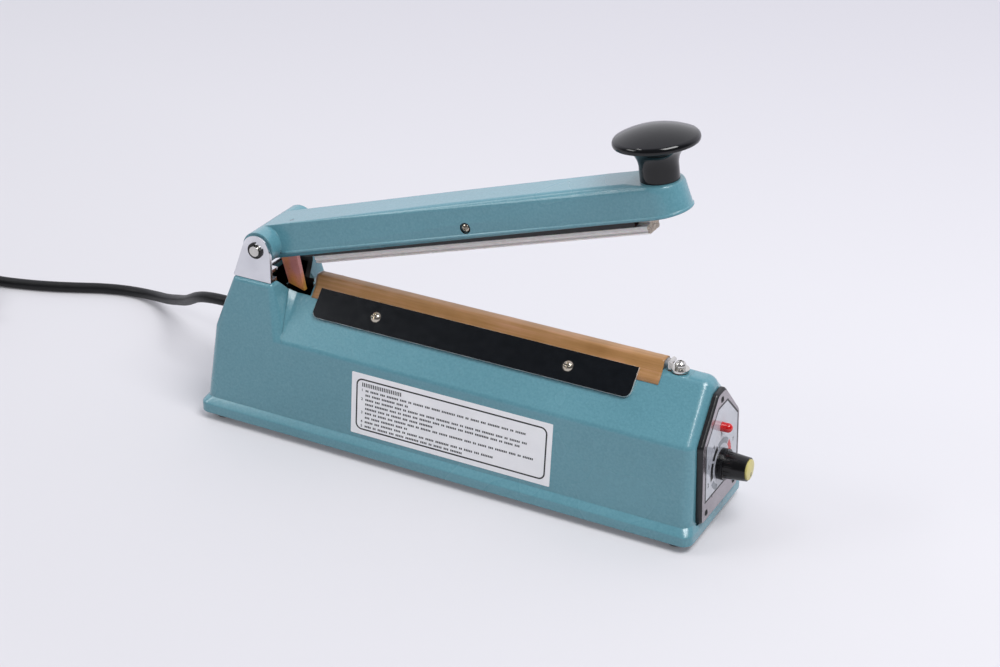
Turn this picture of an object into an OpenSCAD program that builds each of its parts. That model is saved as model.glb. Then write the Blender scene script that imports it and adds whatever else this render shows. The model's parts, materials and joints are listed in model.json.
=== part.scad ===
// Hand impulse sealer: a hollow cast case with a heated sealing ridge, and a sprung arm
// on a hinge at the rear that presses a silicone strip down on it.
// X runs from the hinge to the control panel, -Y is the side with the long label, Z is up.

/* [Case] */
// Length of the case over its skirt
case_l = 300; // [285:1:360]
// Width of the case over its skirt
case_w = 73; // [70:0.5:84]
// Height of the feet below the skirt
foot_h = 4; // [3:0.5:8]
// Diameter of a rubber foot
foot_d = 13; // [11:0.5:15]
// Height of the skirt's edge
skirt_h = 7; // [5.5:0.5:8]
// Step from the skirt's edge in to the side wall
skirt_step = 3.2; // [2.5:0.1:4]
// Wall thickness of the case
wall = 3; // [2.2:0.1:3.4]
// Height where the side wall turns into the roof
knee_z = 57.5; // [54:0.5:61]
// Half width of the case at that height
knee_half = 30; // [28:0.5:32]
// Height of the roof's ridge
ridge_z = 84.5; // [82:0.5:87]
// Half width of the ridge
ridge_half = 4.5; // [4:0.1:5.5]
// Lean of the front panel away from the user
panel_lean = 2.3; // [0:0.1:4]
// Thickness of the bottom plate
plate_t = 1.2; // [0.8:0.1:1.6]

/* [Hinge] */
// Distance of the hinge axis from the rear end of the skirt
hinge_in = 34.5; // [33:0.5:38]
// Height of the hinge axis
hinge_z = 106.5; // [104:0.5:110]
// Height of the pedestal that carries the hinge
pedestal_z = 88.5; // [86:0.5:90]
// Half width of the pedestal at its top
pedestal_half = 25.5; // [25:0.1:27]
// Half width over the ears of the bracket
ear_half = 24; // [23.5:0.1:24.5]
// Thickness of the bracket's sheet
ear_t = 2; // [1.5:0.1:2.5]
// Diameter of the hinge pin
pin_d = 6; // [5:0.1:6.4]
// Diameter of the hubs on the arm
hub_d = 19; // [17.5:0.5:20]

/* [Arm] */
// Angle of the arm above level when it is open
open_angle = 17.3; // [15:0.1:18]
// Length of the arm's nose past the end of the silicone strip
nose_l = 22.5; // [21:0.5:30]
// Half width of the arm at its lower edge
arm_half = 14; // [13.5:0.1:15]
// Half width of the arm at its top
arm_top_half = 12; // [11.5:0.1:13]
// Height of the arm's top above the hinge axis
arm_rise = 12; // [11:0.1:13]
// Depth of the arm's lower edge below the hinge axis
arm_drop = 7; // [6.5:0.1:7.5]
// Forward lean of the press knob on the arm
knob_lean = 8.5; // [5:0.5:10]
// Diameter of the press knob
knob_d = 43.8; // [38:0.2:50]
// Height of the press knob
knob_h = 27.2; // [25:0.2:32]
// Length of the silicone strip
strip_l = 204; // [190:1:206]
// Half width of the silicone strip
strip_half = 7; // [6.4:0.1:7.4]
// Gap that is left between the strip and the cloth when the arm is down
press_gap = 0.2; // [0.1:0.05:0.4]

/* [Sealing line] */
// Length of the release cloth along the ridge
cloth_l = 207; // [200:1:210]
// Thickness of the release cloth
cloth_t = 0.3; // [0.2:0.05:0.4]
// Height of the heater bar above the ridge
bar_rise = 4.4; // [4:0.1:5]
// Length of a clamp plate
clamp_l = 190; // [180:1:196]
// Width of a clamp plate down the roof
clamp_w = 17; // [15:0.5:19]
// Thickness of a clamp plate
clamp_t = 1.5; // [1:0.1:2]
// Spacing of the two screws of a clamp plate
clamp_pitch = 115; // [100:1:130]

/* [Panel] */
// Height of the dial's axis
dial_z = 36.5; // [35:0.5:40]
// Half width of the panel's bezel
bezel_half = 25; // [24:0.5:27]
// Thickness of the bezel
bezel_t = 3.2; // [3:0.1:4]
// Width of the bezel's rim
rim_w = 2.6; // [2:0.1:3]
// Reach of the dial from the front wall
dial_reach = 20; // [18:0.5:24]
// Diameter of the dial's skirt
dial_d = 16.6; // [15.5:0.1:19]
// Diameter of the lamp
lamp_d = 5; // [4.5:0.1:6]

/* [Cord] */
// Diameter of the mains cord
cord_d = 6.5; // [6:0.1:7]
// Loops in each layer of the coil
coil_turns = 2.375; // [1.375:1:2.375]
// Radius of the outermost loop of the coil
coil_r = 47; // [46:1:60]

/* [Hidden] */
$fn = 48;

// Clearances
running = 0.05;
slip = 0.1;
loose = 0.3;
eps = 0.01;
// Overrun of a cut past the face that it opens
cut = 1;

// Screws: radii of their threads
screw_r = 1.5;
bracket_screw_r = 1.75;
switch_screw_r = 1;
panel_screw_r = 1.2;
strip_screw_r = 1.25;
knob_screw_r = 2.9;

// Case: heights, planes and rounded edges
skirt_z = foot_h + skirt_h;
shoulder_h = 2.6;
wall_z = skirt_z + shoulder_h;
wall_half = case_w / 2 - skirt_step;
skirt_round = 5.5;
edge_round = 6;
ridge_round = 4;
nose_round = 7;
front_in = 1.6;
rear_in = 2.6;
rear_lean = 6.4;
roof_a = atan2(ridge_z - knee_z, knee_half - ridge_half);
plate_in = 3;
plate_top = foot_h + plate_t + 0.4;
post_r = 5;
post_top = 30;
foot_x = case_l / 2 - 11;
foot_y = wall_half - 7.3;
foot_screw_l = 18;
foot_screw_seat = 2;
foot_well_r = 3.8;

// Hinge and arm
hinge_x = hinge_in - case_l / 2;
pin_r = pin_d / 2;
hub_r = hub_d / 2;
hub_in = 13;
pedestal_back = hinge_x - 16;
pedestal_front = hinge_x + 10.5;
pedestal_foot = hinge_x + 18.5;
pedestal_round = 3;
saddle_w = 4.5;
bracket_top = pedestal_z + ear_t;
bracket_slot = 7;
bracket_mouth = 18;
bracket_mouth_in = 2.5;
bracket_back = hinge_x - 15;
bracket_front = pedestal_front - 1.5;
bracket_screw_x = bracket_back + 6;
bracket_screw_y = 15;
bracket_screw_l = 8;
ear_r = 8.3;
notch_half = 9.5;
notch_top_half = 18.6;
notch_back = hinge_x - 2.5;
notch_deep = 18;
clip_t = 0.8;
clip_r = 4.6;
clip_y = ear_half + slip;
pin_half = clip_y + clip_t + 0.9;
groove_r = pin_r - 0.7;
strip_u = 24;
holder_end = strip_u + strip_l - 6.5;
front_u = strip_u + strip_l + nose_l - arm_half;
knob_u = front_u + 1;
seat_v = arm_rise - 2.4;
cavity_top = 6.5;
cavity_end = strip_u + strip_l + 0.5;
cavity_start = 6.5;

// Sealing line: levels of the bar, the ribbon and the cloth
bar_seat = ridge_z - 0.9;
bar_top = ridge_z + bar_rise;
bar_foot_half = 4.6;
bar_top_half = 2.3;
ribbon_t = 0.2;
ribbon_w = 3;
cloth_x = hinge_x + 129.5;
clamp_x = cloth_x - 3.5;
bar_back = cloth_x - cloth_l / 2 - 1;
bar_front = cloth_x + cloth_l / 2 - 0.5;
cloth_z = bar_top + ribbon_t + cloth_t;
cloth_s = 8.2;
clamp_s = 2;
clamp_round = 4;
clamp_screw_l = 7;
terminal_gap = 2.2;
terminal_drop = 5;
terminal_x = bar_front + 8;
terminal_r = 4.8;
terminal_t = 1.2;
terminal_nut_h = 2;
land_l = 8;
land_half = 5;
pad_t = 0.8;
pad_in = 0.5;
tag_half = 3.5;
tag_t = 1;
strip_low = hinge_z - cloth_z - press_gap;
holder_low = arm_drop + 4.8;
strip_h = strip_low - holder_low - slip;
holder_half = 10.3;

// Panel: its outline below and above the dial's axis
panel_low = foot_h + 8 - dial_z;
panel_knee = knee_z - 0.5 - dial_z;
panel_top = ridge_z - 6 - dial_z;
panel_top_half = 5;
panel_round = 3.5;
panel_t = bezel_t - 0.5;
panel_screw_y = bezel_half - 6.5;
panel_screw_low = panel_low + 5;
panel_screw_top = panel_top - 5;
panel_screw_l = 7;
lamp_up = 21.5;
board_x = -16;
board_in = 7;
opening_in = 9;
board_t = 1.6;
bushing_r = 3.5;
bushing_l = 2.6;
shaft_r = 3;
shaft_in = 6;
pot_r = 8.5;
pot_gap = 1;
nut_r = 5.4;
nut_h = 2;
lamp_out = 4;
cap_in = 2.8;
cap_t = 2.2;

// Switch
switch_y = -4;
tab_t = 3;
lever_x = hinge_x + 1;
lever_z = hinge_z - 54.5;
lever_t = 0.8;
lever_gap = 0.4;
lever_l = 29.5;
lever_half = 2;
pivot_r = 0.8;
tab_back = [0.6, -26.4];
tab_x = hinge_x + tab_back[0] * cos(open_angle) - tab_back[1] * sin(open_angle);
tab_z = hinge_z + tab_back[0] * sin(open_angle) + tab_back[1] * cos(open_angle);
lever_lean = atan2(tab_x - lever_gap - lever_t / 2 - lever_x, tab_z - lever_z);
switch_w = 6.4;
switch_l = 19.8;
switch_d = 10.2;
switch_back = 12;
switch_boss_r = 2.6;
switch_screw_l = 14;

// Cord: the gland on its boss in the rear wall
gland_y = 15;
gland_z = knee_z - 10;
gland_proud = 3.4;
gland_x = rear_at(gland_z) - gland_proud;
gland_bore = 5.5;
gland_deep = 9;
gland_out = 15;
boss_r = 9.5;

// The origin lies below the middle of the object, measured without the cord
dial_tip = front_at(dial_z) + dial_reach * cos(panel_lean);
mid_x = (dial_tip - case_l / 2) / 2;

// Front and rear planes of the case, and the centres of the balls that round its edges
function front_at(z) = case_l / 2 - front_in - (z - foot_h) * tan(panel_lean);
function rear_at(z) = rear_in - case_l / 2 + (z - wall_z) * tan(rear_lean);
function front_ball(z, r) = front_at(z) - r / cos(panel_lean);
function rear_ball(z, r) = rear_at(z) + r / cos(rear_lean);
function knee_ball(r) = [knee_half - r, knee_z - r * (1 - sin(roof_a)) / cos(roof_a)];
function ridge_ball(r) = [ridge_half - r * (1 - cos(roof_a)) / sin(roof_a), ridge_z - r];

// Six corners of the panel's outline, moved in by the given amount
panel_a = atan2(panel_top - panel_knee, bezel_half - panel_top_half);
function panel_points(in) = let (
    half = bezel_half - in,
    knee = panel_knee - in * (1 - sin(panel_a)) / cos(panel_a),
    top_half = panel_top_half - in * (1 - cos(panel_a)) / sin(panel_a)
) [[-half, panel_low + in], [half, panel_low + in], [half, knee],
    [top_half, panel_top - in], [-top_half, panel_top - in], [-half, knee]];

// Sweeping a round tube along a list of points
function unit(v) = v / norm(v);
function tangent(p, i) = unit(p[min(i + 1, len(p) - 1)] - p[max(i - 1, 0)]);
function square_to(n, t) = unit(n - t * (n * t));
function carried(p, start) = [for (i = 0, n = square_to(start, tangent(p, 0)); i < len(p);
    i = i + 1, n = i < len(p) ? square_to(n, tangent(p, i)) : n) n];
function ring(c, n, t, r, sides) = [for (k = [0:sides - 1])
    c + r * (cos(360 * k / sides) * n + sin(360 * k / sides) * cross(t, n))];

// Least distance between points of a path that are at least so many steps apart, less the tube
function least_gap(p, apart, d) = min([for (i = [0:len(p) - 1 - apart], j = [i + apart:len(p) - 1])
    norm(p[i] - p[j])]) - d;

module tube(p, d, sides, start) {
    n = carried(p, start);
    rings = [for (i = [0:len(p) - 1]) each ring(p[i], n[i], tangent(p, i), d / 2, sides)];
    last = (len(p) - 1) * sides;
    faces = [
        for (i = [0:len(p) - 2], k = [0:sides - 1]) let (a = i * sides, b = (k + 1) % sides)
            each [[a + k, a + sides + k, a + sides + b], [a + k, a + sides + b, a + b]],
        for (k = [1:sides - 2]) [0, k, k + 1],
        for (k = [1:sides - 2]) [last, last + k + 1, last + k]
    ];
    polyhedron(points = rings, faces = faces);
}

// Places that pieces are built in
module centred() translate([-mid_x, 0, 0]) children();
module on_arm() translate([hinge_x, 0, hinge_z]) rotate([0, -open_angle, 0]) children();
module on_knob() on_arm() translate([knob_u, 0, seat_v]) rotate([0, knob_lean, 0]) children();
module on_panel() translate([front_at(dial_z), 0, dial_z]) rotate([0, -panel_lean, 0]) children();
module on_far_roof() translate([0, ridge_half, ridge_z]) rotate([-roof_a, 0, 0]) children();
module on_near_roof() mirror([0, 1, 0]) on_far_roof() children();
module both_roofs() {
    on_far_roof() children();
    on_near_roof() children();
}
module both_sides() {
    children();
    mirror([0, 1, 0]) children();
}
module corners(x, y) for (sx = [-1, 1], sy = [-1, 1]) translate([sx * x, sy * y, 0]) children();

// Extrusions: along X from x0, and across Y between y0 and y1
module along_x(x0, l) translate([x0, 0, 0]) rotate([90, 0, 90]) linear_extrude(l) children();
module across_y(y0, y1) translate([0, y1, 0]) rotate([90, 0, 0]) linear_extrude(y1 - y0) children();
module pin_y(r, y0, y1) translate([0, y0, 0]) rotate([-90, 0, 0]) cylinder(r = r, h = y1 - y0);
module pin_x(r, x0, x1) translate([x0, 0, 0]) rotate([0, 90, 0]) cylinder(r = r, h = x1 - x0);

// A screw with a domed head that has a cross recess; it points down from z = 0
module dome_screw(shank_r, head_r, head_h, l) {
    dome_r = (head_r * head_r + head_h * head_h) / (2 * head_h);
    difference() {
        union() {
            translate([0, 0, -l]) cylinder(r = shank_r, h = l + eps);
            intersection() {
                cylinder(r = head_r, h = head_h);
                translate([0, 0, head_h - dome_r]) sphere(r = dome_r);
            }
        }
        for (a = [0, 90]) rotate(a) translate([-head_r * 0.6, -head_r * 0.12, head_h * 0.45])
            cube([head_r * 1.2, head_r * 0.24, head_h]);
    }
}

// Outer form of the case, or the hollow inside it when moved in by the wall
module house(in, sides) {
    knee = knee_ball(edge_round);
    nose = ridge_ball(nose_round);
    ridge = ridge_ball(ridge_round);
    hull() both_sides() {
        for (x = [front_ball(wall_z, edge_round), rear_ball(wall_z, edge_round)])
            translate([x, wall_half - edge_round, wall_z]) sphere(edge_round - in, $fn = sides);
        for (x = [front_ball(knee[1], edge_round), rear_ball(knee[1], edge_round)])
            translate([x, knee[0], knee[1]]) sphere(edge_round - in, $fn = sides);
        translate([front_ball(nose[1], nose_round), nose[0], nose[1]]) sphere(nose_round - in, $fn = sides);
        translate([hinge_x, ridge[0], ridge[1]]) sphere(ridge_round - in, $fn = sides);
    }
}

// Pedestal at the rear, or the hollow inside it
module pedestal(in, sides) {
    knee = knee_ball(edge_round);
    top = pedestal_z - pedestal_round;
    hull() both_sides() {
        for (x = [rear_ball(knee[1], edge_round), pedestal_foot - edge_round])
            translate([x, knee[0], knee[1]]) sphere(edge_round - in, $fn = sides);
        for (x = [pedestal_back + pedestal_round, pedestal_front - pedestal_round])
            translate([x, pedestal_half - pedestal_round, top])
                sphere(max(pedestal_round - in, 0.2), $fn = sides);
    }
}

// Fillet in the corner between the pedestal's front and the roof, widest at the ridge
module saddle() {
    sink = 0.15;
    slope = (pedestal_foot - pedestal_front) / (pedestal_z - knee_z);
    foot = [pedestal_foot, knee_half, knee_z];
    top = [pedestal_foot - slope * (ridge_z - knee_z), ridge_half, ridge_z];
    hull() both_sides() for (p = [foot, top, top + [saddle_w, 0, 0], top + [0, saddle_w, 0]])
        translate(p - [sink, sink, sink]) sphere(sink, $fn = 8);
}

// Rings of the skirt's rounded edge, as heights and insets
skirt_rings = [[0, 0.8], [0.8, 0], [skirt_h - 1.6, 0], [skirt_h - 0.6, 0.35], [skirt_h, 1.1]];
module skirt() hull() {
    for (ring = skirt_rings)
        corners(case_l / 2 - skirt_round, case_w / 2 - skirt_round)
            translate([0, 0, foot_h + ring[0]]) cylinder(r = skirt_round - ring[1], h = eps, $fn = 32);
    for (x = [front_ball(wall_z, edge_round), rear_ball(wall_z, edge_round)], s = [-1, 1])
        translate([x, s * (wall_half - edge_round), wall_z]) cylinder(r = edge_round, h = eps, $fn = 32);
}

// Bottom opening of the case, at the given distance inside the skirt's edge
module bottom_outline(in) {
    r = skirt_round - in;
    hull() corners(case_l / 2 - skirt_round, case_w / 2 - skirt_round) circle(r, $fn = 32);
}

module gland_place() translate([gland_x, gland_y, gland_z]) rotate([0, -90, 0]) children();
module gland_boss() gland_place() translate([0, 0, -gland_deep]) cylinder(r = boss_r, h = gland_deep);

module clamp_holes(r, depth) both_roofs() for (s = [-1, 1])
    translate([clamp_x + s * clamp_pitch / 2, clamp_s + clamp_w / 2, -depth]) cylinder(r = r, h = 2 * depth);

module bracket_holes(r, depth) both_sides()
    translate([bracket_screw_x, bracket_screw_y, pedestal_z - depth]) cylinder(r = r, h = 2 * depth);

// Places of the two switch screws, which run across the case
module switch_screw_places() for (z = [4, 14]) translate([lever_x - 7, 0, lever_z + z]) children();

// Section of the notch that the tab goes down: it widens above the roof, between the bracket's ears
notch_side = [[notch_half, ridge_z - notch_deep], [notch_half, roof_at(notch_half)],
    [notch_top_half, pedestal_z], [notch_top_half, pedestal_z + notch_deep]];
notch_points = concat(notch_side,
    [for (i = [len(notch_side) - 1:-1:0]) [-notch_side[i][0], notch_side[i][1]]]);

module base_casting() color("cadetblue") {
    difference() {
        union() {
            house(0, 32);
            pedestal(0, 32);
            saddle();
            skirt();
            gland_boss();
        }
        difference() {
            union() {
                house(wall, 16);
                pedestal(wall, 16);
                translate([rear_at(wall_z) + wall, wall - wall_half, foot_h - cut])
                    cube([front_at(wall_z) - rear_at(wall_z) - 2 * wall, 2 * (wall_half - wall),
                        wall_z - foot_h + cut]);
            }
            corners(foot_x, foot_y) cylinder(r = post_r, h = post_top);
            gland_boss();
            switch_screw_places() pin_y(switch_boss_r, -knee_half, switch_y - switch_w / 2);
            translate([bar_back, -land_half, bar_seat - 2 * terminal_drop])
                cube([land_l, 2 * land_half, 2 * terminal_drop]);
        }
        translate([0, 0, foot_h - cut]) linear_extrude(cut + plate_top - foot_h) bottom_outline(plate_in);
        corners(foot_x, foot_y) translate([0, 0, foot_h])
            cylinder(r = screw_r + running, h = foot_screw_l + foot_screw_seat);
        gland_place() translate([0, 0, -gland_deep - cut])
            cylinder(r = gland_bore, h = gland_deep + 2 * cut);
        switch_screw_places()
            pin_y(switch_screw_r + running, switch_y + switch_w / 2 - switch_screw_l - cut, switch_y);
        clamp_holes(screw_r + running, clamp_screw_l);
        bracket_holes(bracket_screw_r + running, bracket_screw_l + cut);
        along_x(notch_back, bar_back - notch_back) polygon(notch_points);
        translate([bar_back - cut, -ridge_half - 2 * cut, bar_seat])
            cube([terminal_x + terminal_r + 2 * cut - bar_back + cut, 2 * ridge_half + 4 * cut, notch_deep]);
        translate([terminal_x, 0, bar_seat - notch_deep])
            cylinder(r = screw_r + running, h = 2 * notch_deep);
        translate([bar_back, 0, bar_seat - terminal_drop]) pin_x(screw_r + running, -cut, land_l - cut);
        on_panel() {
            along_x(0, 2 * bezel_t) polygon(panel_points(-loose));
            along_x(-2 * wall, 3 * wall) polygon(panel_points(opening_in));
            panel_screw_places() pin_x(panel_screw_r + running, -panel_screw_l, cut);
        }
    }
}

module bottom_plate() color("silver") difference() {
    translate([0, 0, plate_top - plate_t]) linear_extrude(plate_t) bottom_outline(plate_in + loose);
    corners(foot_x, foot_y) cylinder(r = screw_r + slip, h = foot_screw_l);
    transformer_screw_places() cylinder(r = screw_r + slip, h = 2 * foot_screw_l, center = true);
}

module rubber_feet() color("dimgray") corners(foot_x, foot_y) difference() {
    rotate_extrude() polygon([[0, 0], [foot_d / 2 - 1.6, 0], [foot_d / 2 - 0.8, 0.8],
        [foot_d / 2, plate_top - plate_t], [0, plate_top - plate_t]]);
    translate([0, 0, -cut]) cylinder(r = foot_well_r, h = foot_screw_seat + cut);
    cylinder(r = screw_r + slip, h = foot_screw_l);
}

module foot_screws() color("lightgray") corners(foot_x, foot_y)
    translate([0, 0, foot_screw_seat]) rotate([180, 0, 0]) dome_screw(screw_r, 3.4, 1.5, foot_screw_l);

module hinge_bracket() color("gainsboro") difference() {
    union() {
        translate([bracket_back, -ear_half, pedestal_z])
            cube([bracket_front - bracket_back, 2 * ear_half, ear_t]);
        both_sides() across_y(ear_half - ear_t, ear_half) hull() {
            translate([hinge_x, hinge_z]) circle(ear_r);
            translate([bracket_back, pedestal_z]) square([bracket_front - bracket_back, ear_t / 2]);
            translate([bracket_front - ear_t, hinge_z - ear_r / 3]) square([ear_t, ear_t / 2]);
        }
    }
    translate([notch_back, -bracket_slot, pedestal_z - cut])
        cube([bracket_front - notch_back + cut, 2 * bracket_slot, ear_t + 2 * cut]);
    translate([hinge_x + bracket_mouth_in, -bracket_mouth, pedestal_z - cut])
        cube([bracket_front - hinge_x, 2 * bracket_mouth, ear_t + 2 * cut]);
    translate([hinge_x, 0, hinge_z]) pin_y(pin_r + running, -ear_half - cut, ear_half + cut);
    bracket_holes(bracket_screw_r + running, bracket_screw_l + cut);
}

module bracket_screws() color("lightgray") both_sides()
    translate([bracket_screw_x, bracket_screw_y, bracket_top])
        dome_screw(bracket_screw_r, 3.4, 2, bracket_screw_l);

module hinge_pin() color("lightgray") translate([hinge_x, 0, hinge_z]) difference() {
    pin_y(pin_r, -pin_half, pin_half);
    both_sides() difference() {
        pin_y(pin_r + cut, clip_y, clip_y + clip_t + slip);
        pin_y(groove_r, clip_y - cut, clip_y + clip_t + cut);
    }
}

module pin_clips() color("black") translate([hinge_x, 0, hinge_z]) both_sides()
    across_y(clip_y, clip_y + clip_t) rotate(55) difference() {
        circle(clip_r);
        circle(groove_r + running);
        translate([0, -groove_r - running]) square([clip_r + cut, 2 * (groove_r + running)]);
        for (a = [120, 240]) rotate(a) translate([pin_r, 0]) circle(0.9);
    }

// Torsion spring on the pin: one leg under the arm's top, the other on the bracket
spring_d = 1.4;
spring_r = pin_r + 1.8;
spring_pitch = 1.9;
spring_turns = 4.25;
spring_y = 0.4;
spring_low = (hinge_z - bracket_top - spring_r * sin(open_angle)) / cos(open_angle) - spring_d;
spring_coil = [for (k = [0:8 * spring_turns]) let (a = 90 + 45 * k)
    [spring_r * cos(a), spring_y + spring_pitch * k / 8, spring_r * sin(a)]];
spring_path = concat(
    [[22, spring_y, cavity_top - spring_d / 2 - slip], [12, spring_y, spring_r + 0.5],
        [4, spring_y, spring_r]],
    spring_coil,
    [[-spring_r, spring_y + spring_pitch * spring_turns, -spring_d],
        [-spring_r, spring_y + spring_pitch * spring_turns, -spring_low]]);
module return_spring() color("silver") on_arm() tube(spring_path, spring_d, 6, [0, 0, 1]);

// Section of the heater bar, and the line that the cloth follows over it
bar_points = [[-bar_foot_half, bar_seat], [bar_foot_half, bar_seat], [bar_top_half + 0.9, bar_top - 0.8],
    [bar_top_half, bar_top], [-bar_top_half, bar_top], [-bar_top_half - 0.9, bar_top - 0.8]];

module heater_bar() color("dimgray") along_x(bar_back, bar_front - bar_back) polygon(bar_points);

// The ribbon lies on the bar and turns down at each end into its terminal
module heating_ribbon() color("silver") {
    back = bar_back - ribbon_t;
    front = bar_front + terminal_gap - ribbon_t;
    translate([back, -ribbon_w / 2, bar_top]) cube([front + ribbon_t - back, ribbon_w, ribbon_t]);
    for (end = [[front, 1.8], [back, 2.5]]) translate([end[0], -ribbon_w / 2, bar_seat + end[1]])
        cube([ribbon_t, ribbon_w, bar_top - bar_seat - end[1] + eps]);
}

function roof_at(y) = ridge_z - (y - ridge_half) * tan(roof_a);
cloth_foot = bar_foot_half + 0.9;
cloth_edge = ridge_half + cloth_s * cos(roof_a);
cloth_half = [[cloth_edge, roof_at(cloth_edge)], [cloth_foot, roof_at(cloth_foot)],
    [bar_top_half + 1, bar_top - 0.6], [bar_top_half, bar_top + ribbon_t]];
cloth_line = concat(cloth_half, [for (i = [3:-1:0]) [-cloth_half[i][0], cloth_half[i][1]]]);

// Normals of a line of points, mitred at its corners, for a sheet of even thickness
function side_of(a, b) = let (d = unit(b - a)) [d[1], -d[0]];
function mitre(p, i) = let (
    a = side_of(p[max(i - 1, 0)], p[max(i, 1)]),
    b = side_of(p[min(i, len(p) - 2)], p[min(i + 1, len(p) - 1)])
) (a + b) / (1 + a * b);
module release_cloth() color("peru") along_x(cloth_x - cloth_l / 2, cloth_l)
    polygon(concat(cloth_line, [for (i = [len(cloth_line) - 1:-1:0])
        cloth_line[i] + cloth_t * mitre(cloth_line, i)]));

module clamp_plate() difference() {
    translate([clamp_x - clamp_l / 2, clamp_s, cloth_t + slip / 2]) linear_extrude(clamp_t) union() {
        square([clamp_l, clamp_w - clamp_round]);
        translate([clamp_round, 0]) square([clamp_l - 2 * clamp_round, clamp_w]);
        for (x = [clamp_round, clamp_l - clamp_round])
            translate([x, clamp_w - clamp_round]) circle(clamp_round);
    }
    for (s = [-1, 1]) translate([clamp_x + s * clamp_pitch / 2, clamp_s + clamp_w / 2, -clamp_screw_l])
        cylinder(r = screw_r + slip, h = 3 * clamp_screw_l);
}
module near_clamp_plate() color("black") on_near_roof() clamp_plate();
module far_clamp_plate() color("black") on_far_roof() clamp_plate();

module clamp_screws() color("lightgray") both_roofs() for (s = [-1, 1])
    translate([clamp_x + s * clamp_pitch / 2, clamp_s + clamp_w / 2, cloth_t + slip / 2 + clamp_t])
        dome_screw(screw_r, 3.2, 1.9, clamp_screw_l);

// Insulating pads under the plate at the front and behind the tag at the rear
module terminal_insulators() color("saddlebrown") {
    difference() {
        translate([bar_front + terminal_gap, 0, bar_seat]) terminal_plate(terminal_r - pad_in, pad_t);
        translate([terminal_x, 0, bar_seat - cut]) cylinder(r = screw_r + slip, h = pad_t + 2 * cut);
    }
    difference() {
        translate([bar_back - pad_t, -terminal_r, bar_seat - 1.6 * terminal_drop])
            cube([pad_t, 2 * terminal_r, 1.6 * terminal_drop]);
        translate([bar_back, 0, bar_seat - terminal_drop]) pin_x(screw_r + slip, -2 * pad_t, 2 * pad_t);
    }
}

// Front terminal: a plate with a round end under the screw, and a hook that holds the ribbon's end
hook_t = 0.6;
hook_r = 1.3;
hook_h = 4.2;
hook_half = 2.6;
module terminal_plate(r, t) {
    reach = terminal_x - bar_front - terminal_gap;
    translate([0, -hook_half, 0]) cube([reach, 2 * hook_half, t]);
    translate([reach, 0, 0]) cylinder(r = r, h = t);
}
module hook_outline() {
    square([hook_t, hook_h]);
    translate([hook_r, hook_h]) intersection() {
        difference() {
            circle(hook_r);
            circle(hook_r - hook_t);
        }
        translate([-hook_r, -eps]) square(2 * hook_r);
    }
    translate([2 * hook_r - hook_t, hook_h - hook_t]) square(hook_t);
}
module front_terminal() color("lightgray") difference() {
    translate([bar_front + terminal_gap, 0, bar_seat + pad_t]) {
        across_y(-hook_half, hook_half) hook_outline();
        terminal_plate(terminal_r, terminal_t);
    }
    translate([terminal_x, 0, bar_seat]) cylinder(r = screw_r + slip, h = hook_h);
}
module front_terminal_nut() color("lightgray") translate([terminal_x, 0, bar_seat + pad_t + terminal_t])
    difference() {
        rotate(30) cylinder(r = 2.8, h = terminal_nut_h, $fn = 6);
        translate([0, 0, -cut]) cylinder(r = screw_r + running, h = terminal_nut_h + 2 * cut);
    }
module front_terminal_screw() color("lightgray")
    translate([terminal_x, 0, bar_seat + pad_t + terminal_t + terminal_nut_h])
        dome_screw(screw_r, 3, 2.2, 10);

// Tag on the rear end of the bar that takes the ribbon's other end
module rear_terminal() color("goldenrod") difference() {
    union() {
        translate([bar_back - ribbon_t - tag_t, -tag_half, bar_seat]) cube([tag_t, 2 * tag_half, tag_half]);
        translate([bar_back - pad_t - tag_t, -tag_half, bar_seat - 1.5 * terminal_drop])
            cube([tag_t, 2 * tag_half, 1.5 * terminal_drop + tag_t]);
    }
    translate([bar_back, 0, bar_seat - terminal_drop]) pin_x(screw_r + slip, -terminal_drop, 0);
}
module rear_terminal_screw() color("lightgray")
    translate([bar_back - pad_t - tag_t, 0, bar_seat - terminal_drop])
        rotate([0, -90, 0]) dome_screw(screw_r, 2.8, 1.8, land_l - cut);

// Panel at the front
module panel_sheet(x, t, in) along_x(x, t) offset(r = panel_round, $fn = 32) offset(delta = -panel_round)
    polygon(panel_points(in));

module panel_screw_places() {
    for (s = [-1, 1]) translate([0, s * panel_screw_y, panel_screw_low]) children();
    translate([0, 0, panel_screw_top]) children();
}

module panel_bezel() color("black") on_panel() difference() {
    hull() {
        panel_sheet(0, bezel_t - 1.2, 0);
        panel_sheet(0, bezel_t, 0.8);
    }
    panel_sheet(-cut, bezel_t + 2 * cut, rim_w);
}

module panel_plate() color("whitesmoke") on_panel() difference() {
    panel_sheet(0, panel_t, rim_w + slip);
    panel_screw_places() pin_x(panel_screw_r + slip, -cut, panel_t + cut);
    pin_x(bushing_r + slip, -cut, panel_t + cut);
    translate([0, 0, lamp_up]) pin_x(lamp_d / 2 + slip, -cut, panel_t + cut);
}

module panel_screws() color("lightgray") on_panel() panel_screw_places()
    translate([panel_t, 0, 0]) rotate([0, 90, 0]) dome_screw(panel_screw_r, 2.4, 1.2, panel_screw_l);

module lamp_lens() color("red") on_panel() translate([0, 0, lamp_up]) {
    pin_x(lamp_d / 2, -shaft_in, panel_t + lamp_out);
    translate([panel_t + lamp_out, 0, 0]) sphere(lamp_d / 2);
}

module lamp_holder() color("black") on_panel() translate([0, 0, lamp_up]) difference() {
    pin_x(lamp_d / 2 + 2, board_x + board_t, -2 * slip);
    pin_x(lamp_d / 2 + running, -shaft_in, cut);
}

module potentiometer() color("gray") on_panel() difference() {
    union() {
        pin_x(pot_r, board_x + board_t, -pot_gap);
        pin_x(bushing_r, -pot_gap - eps, panel_t + bushing_l);
    }
    pin_x(shaft_r + running, -shaft_in, panel_t + bushing_l + cut);
}

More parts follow.
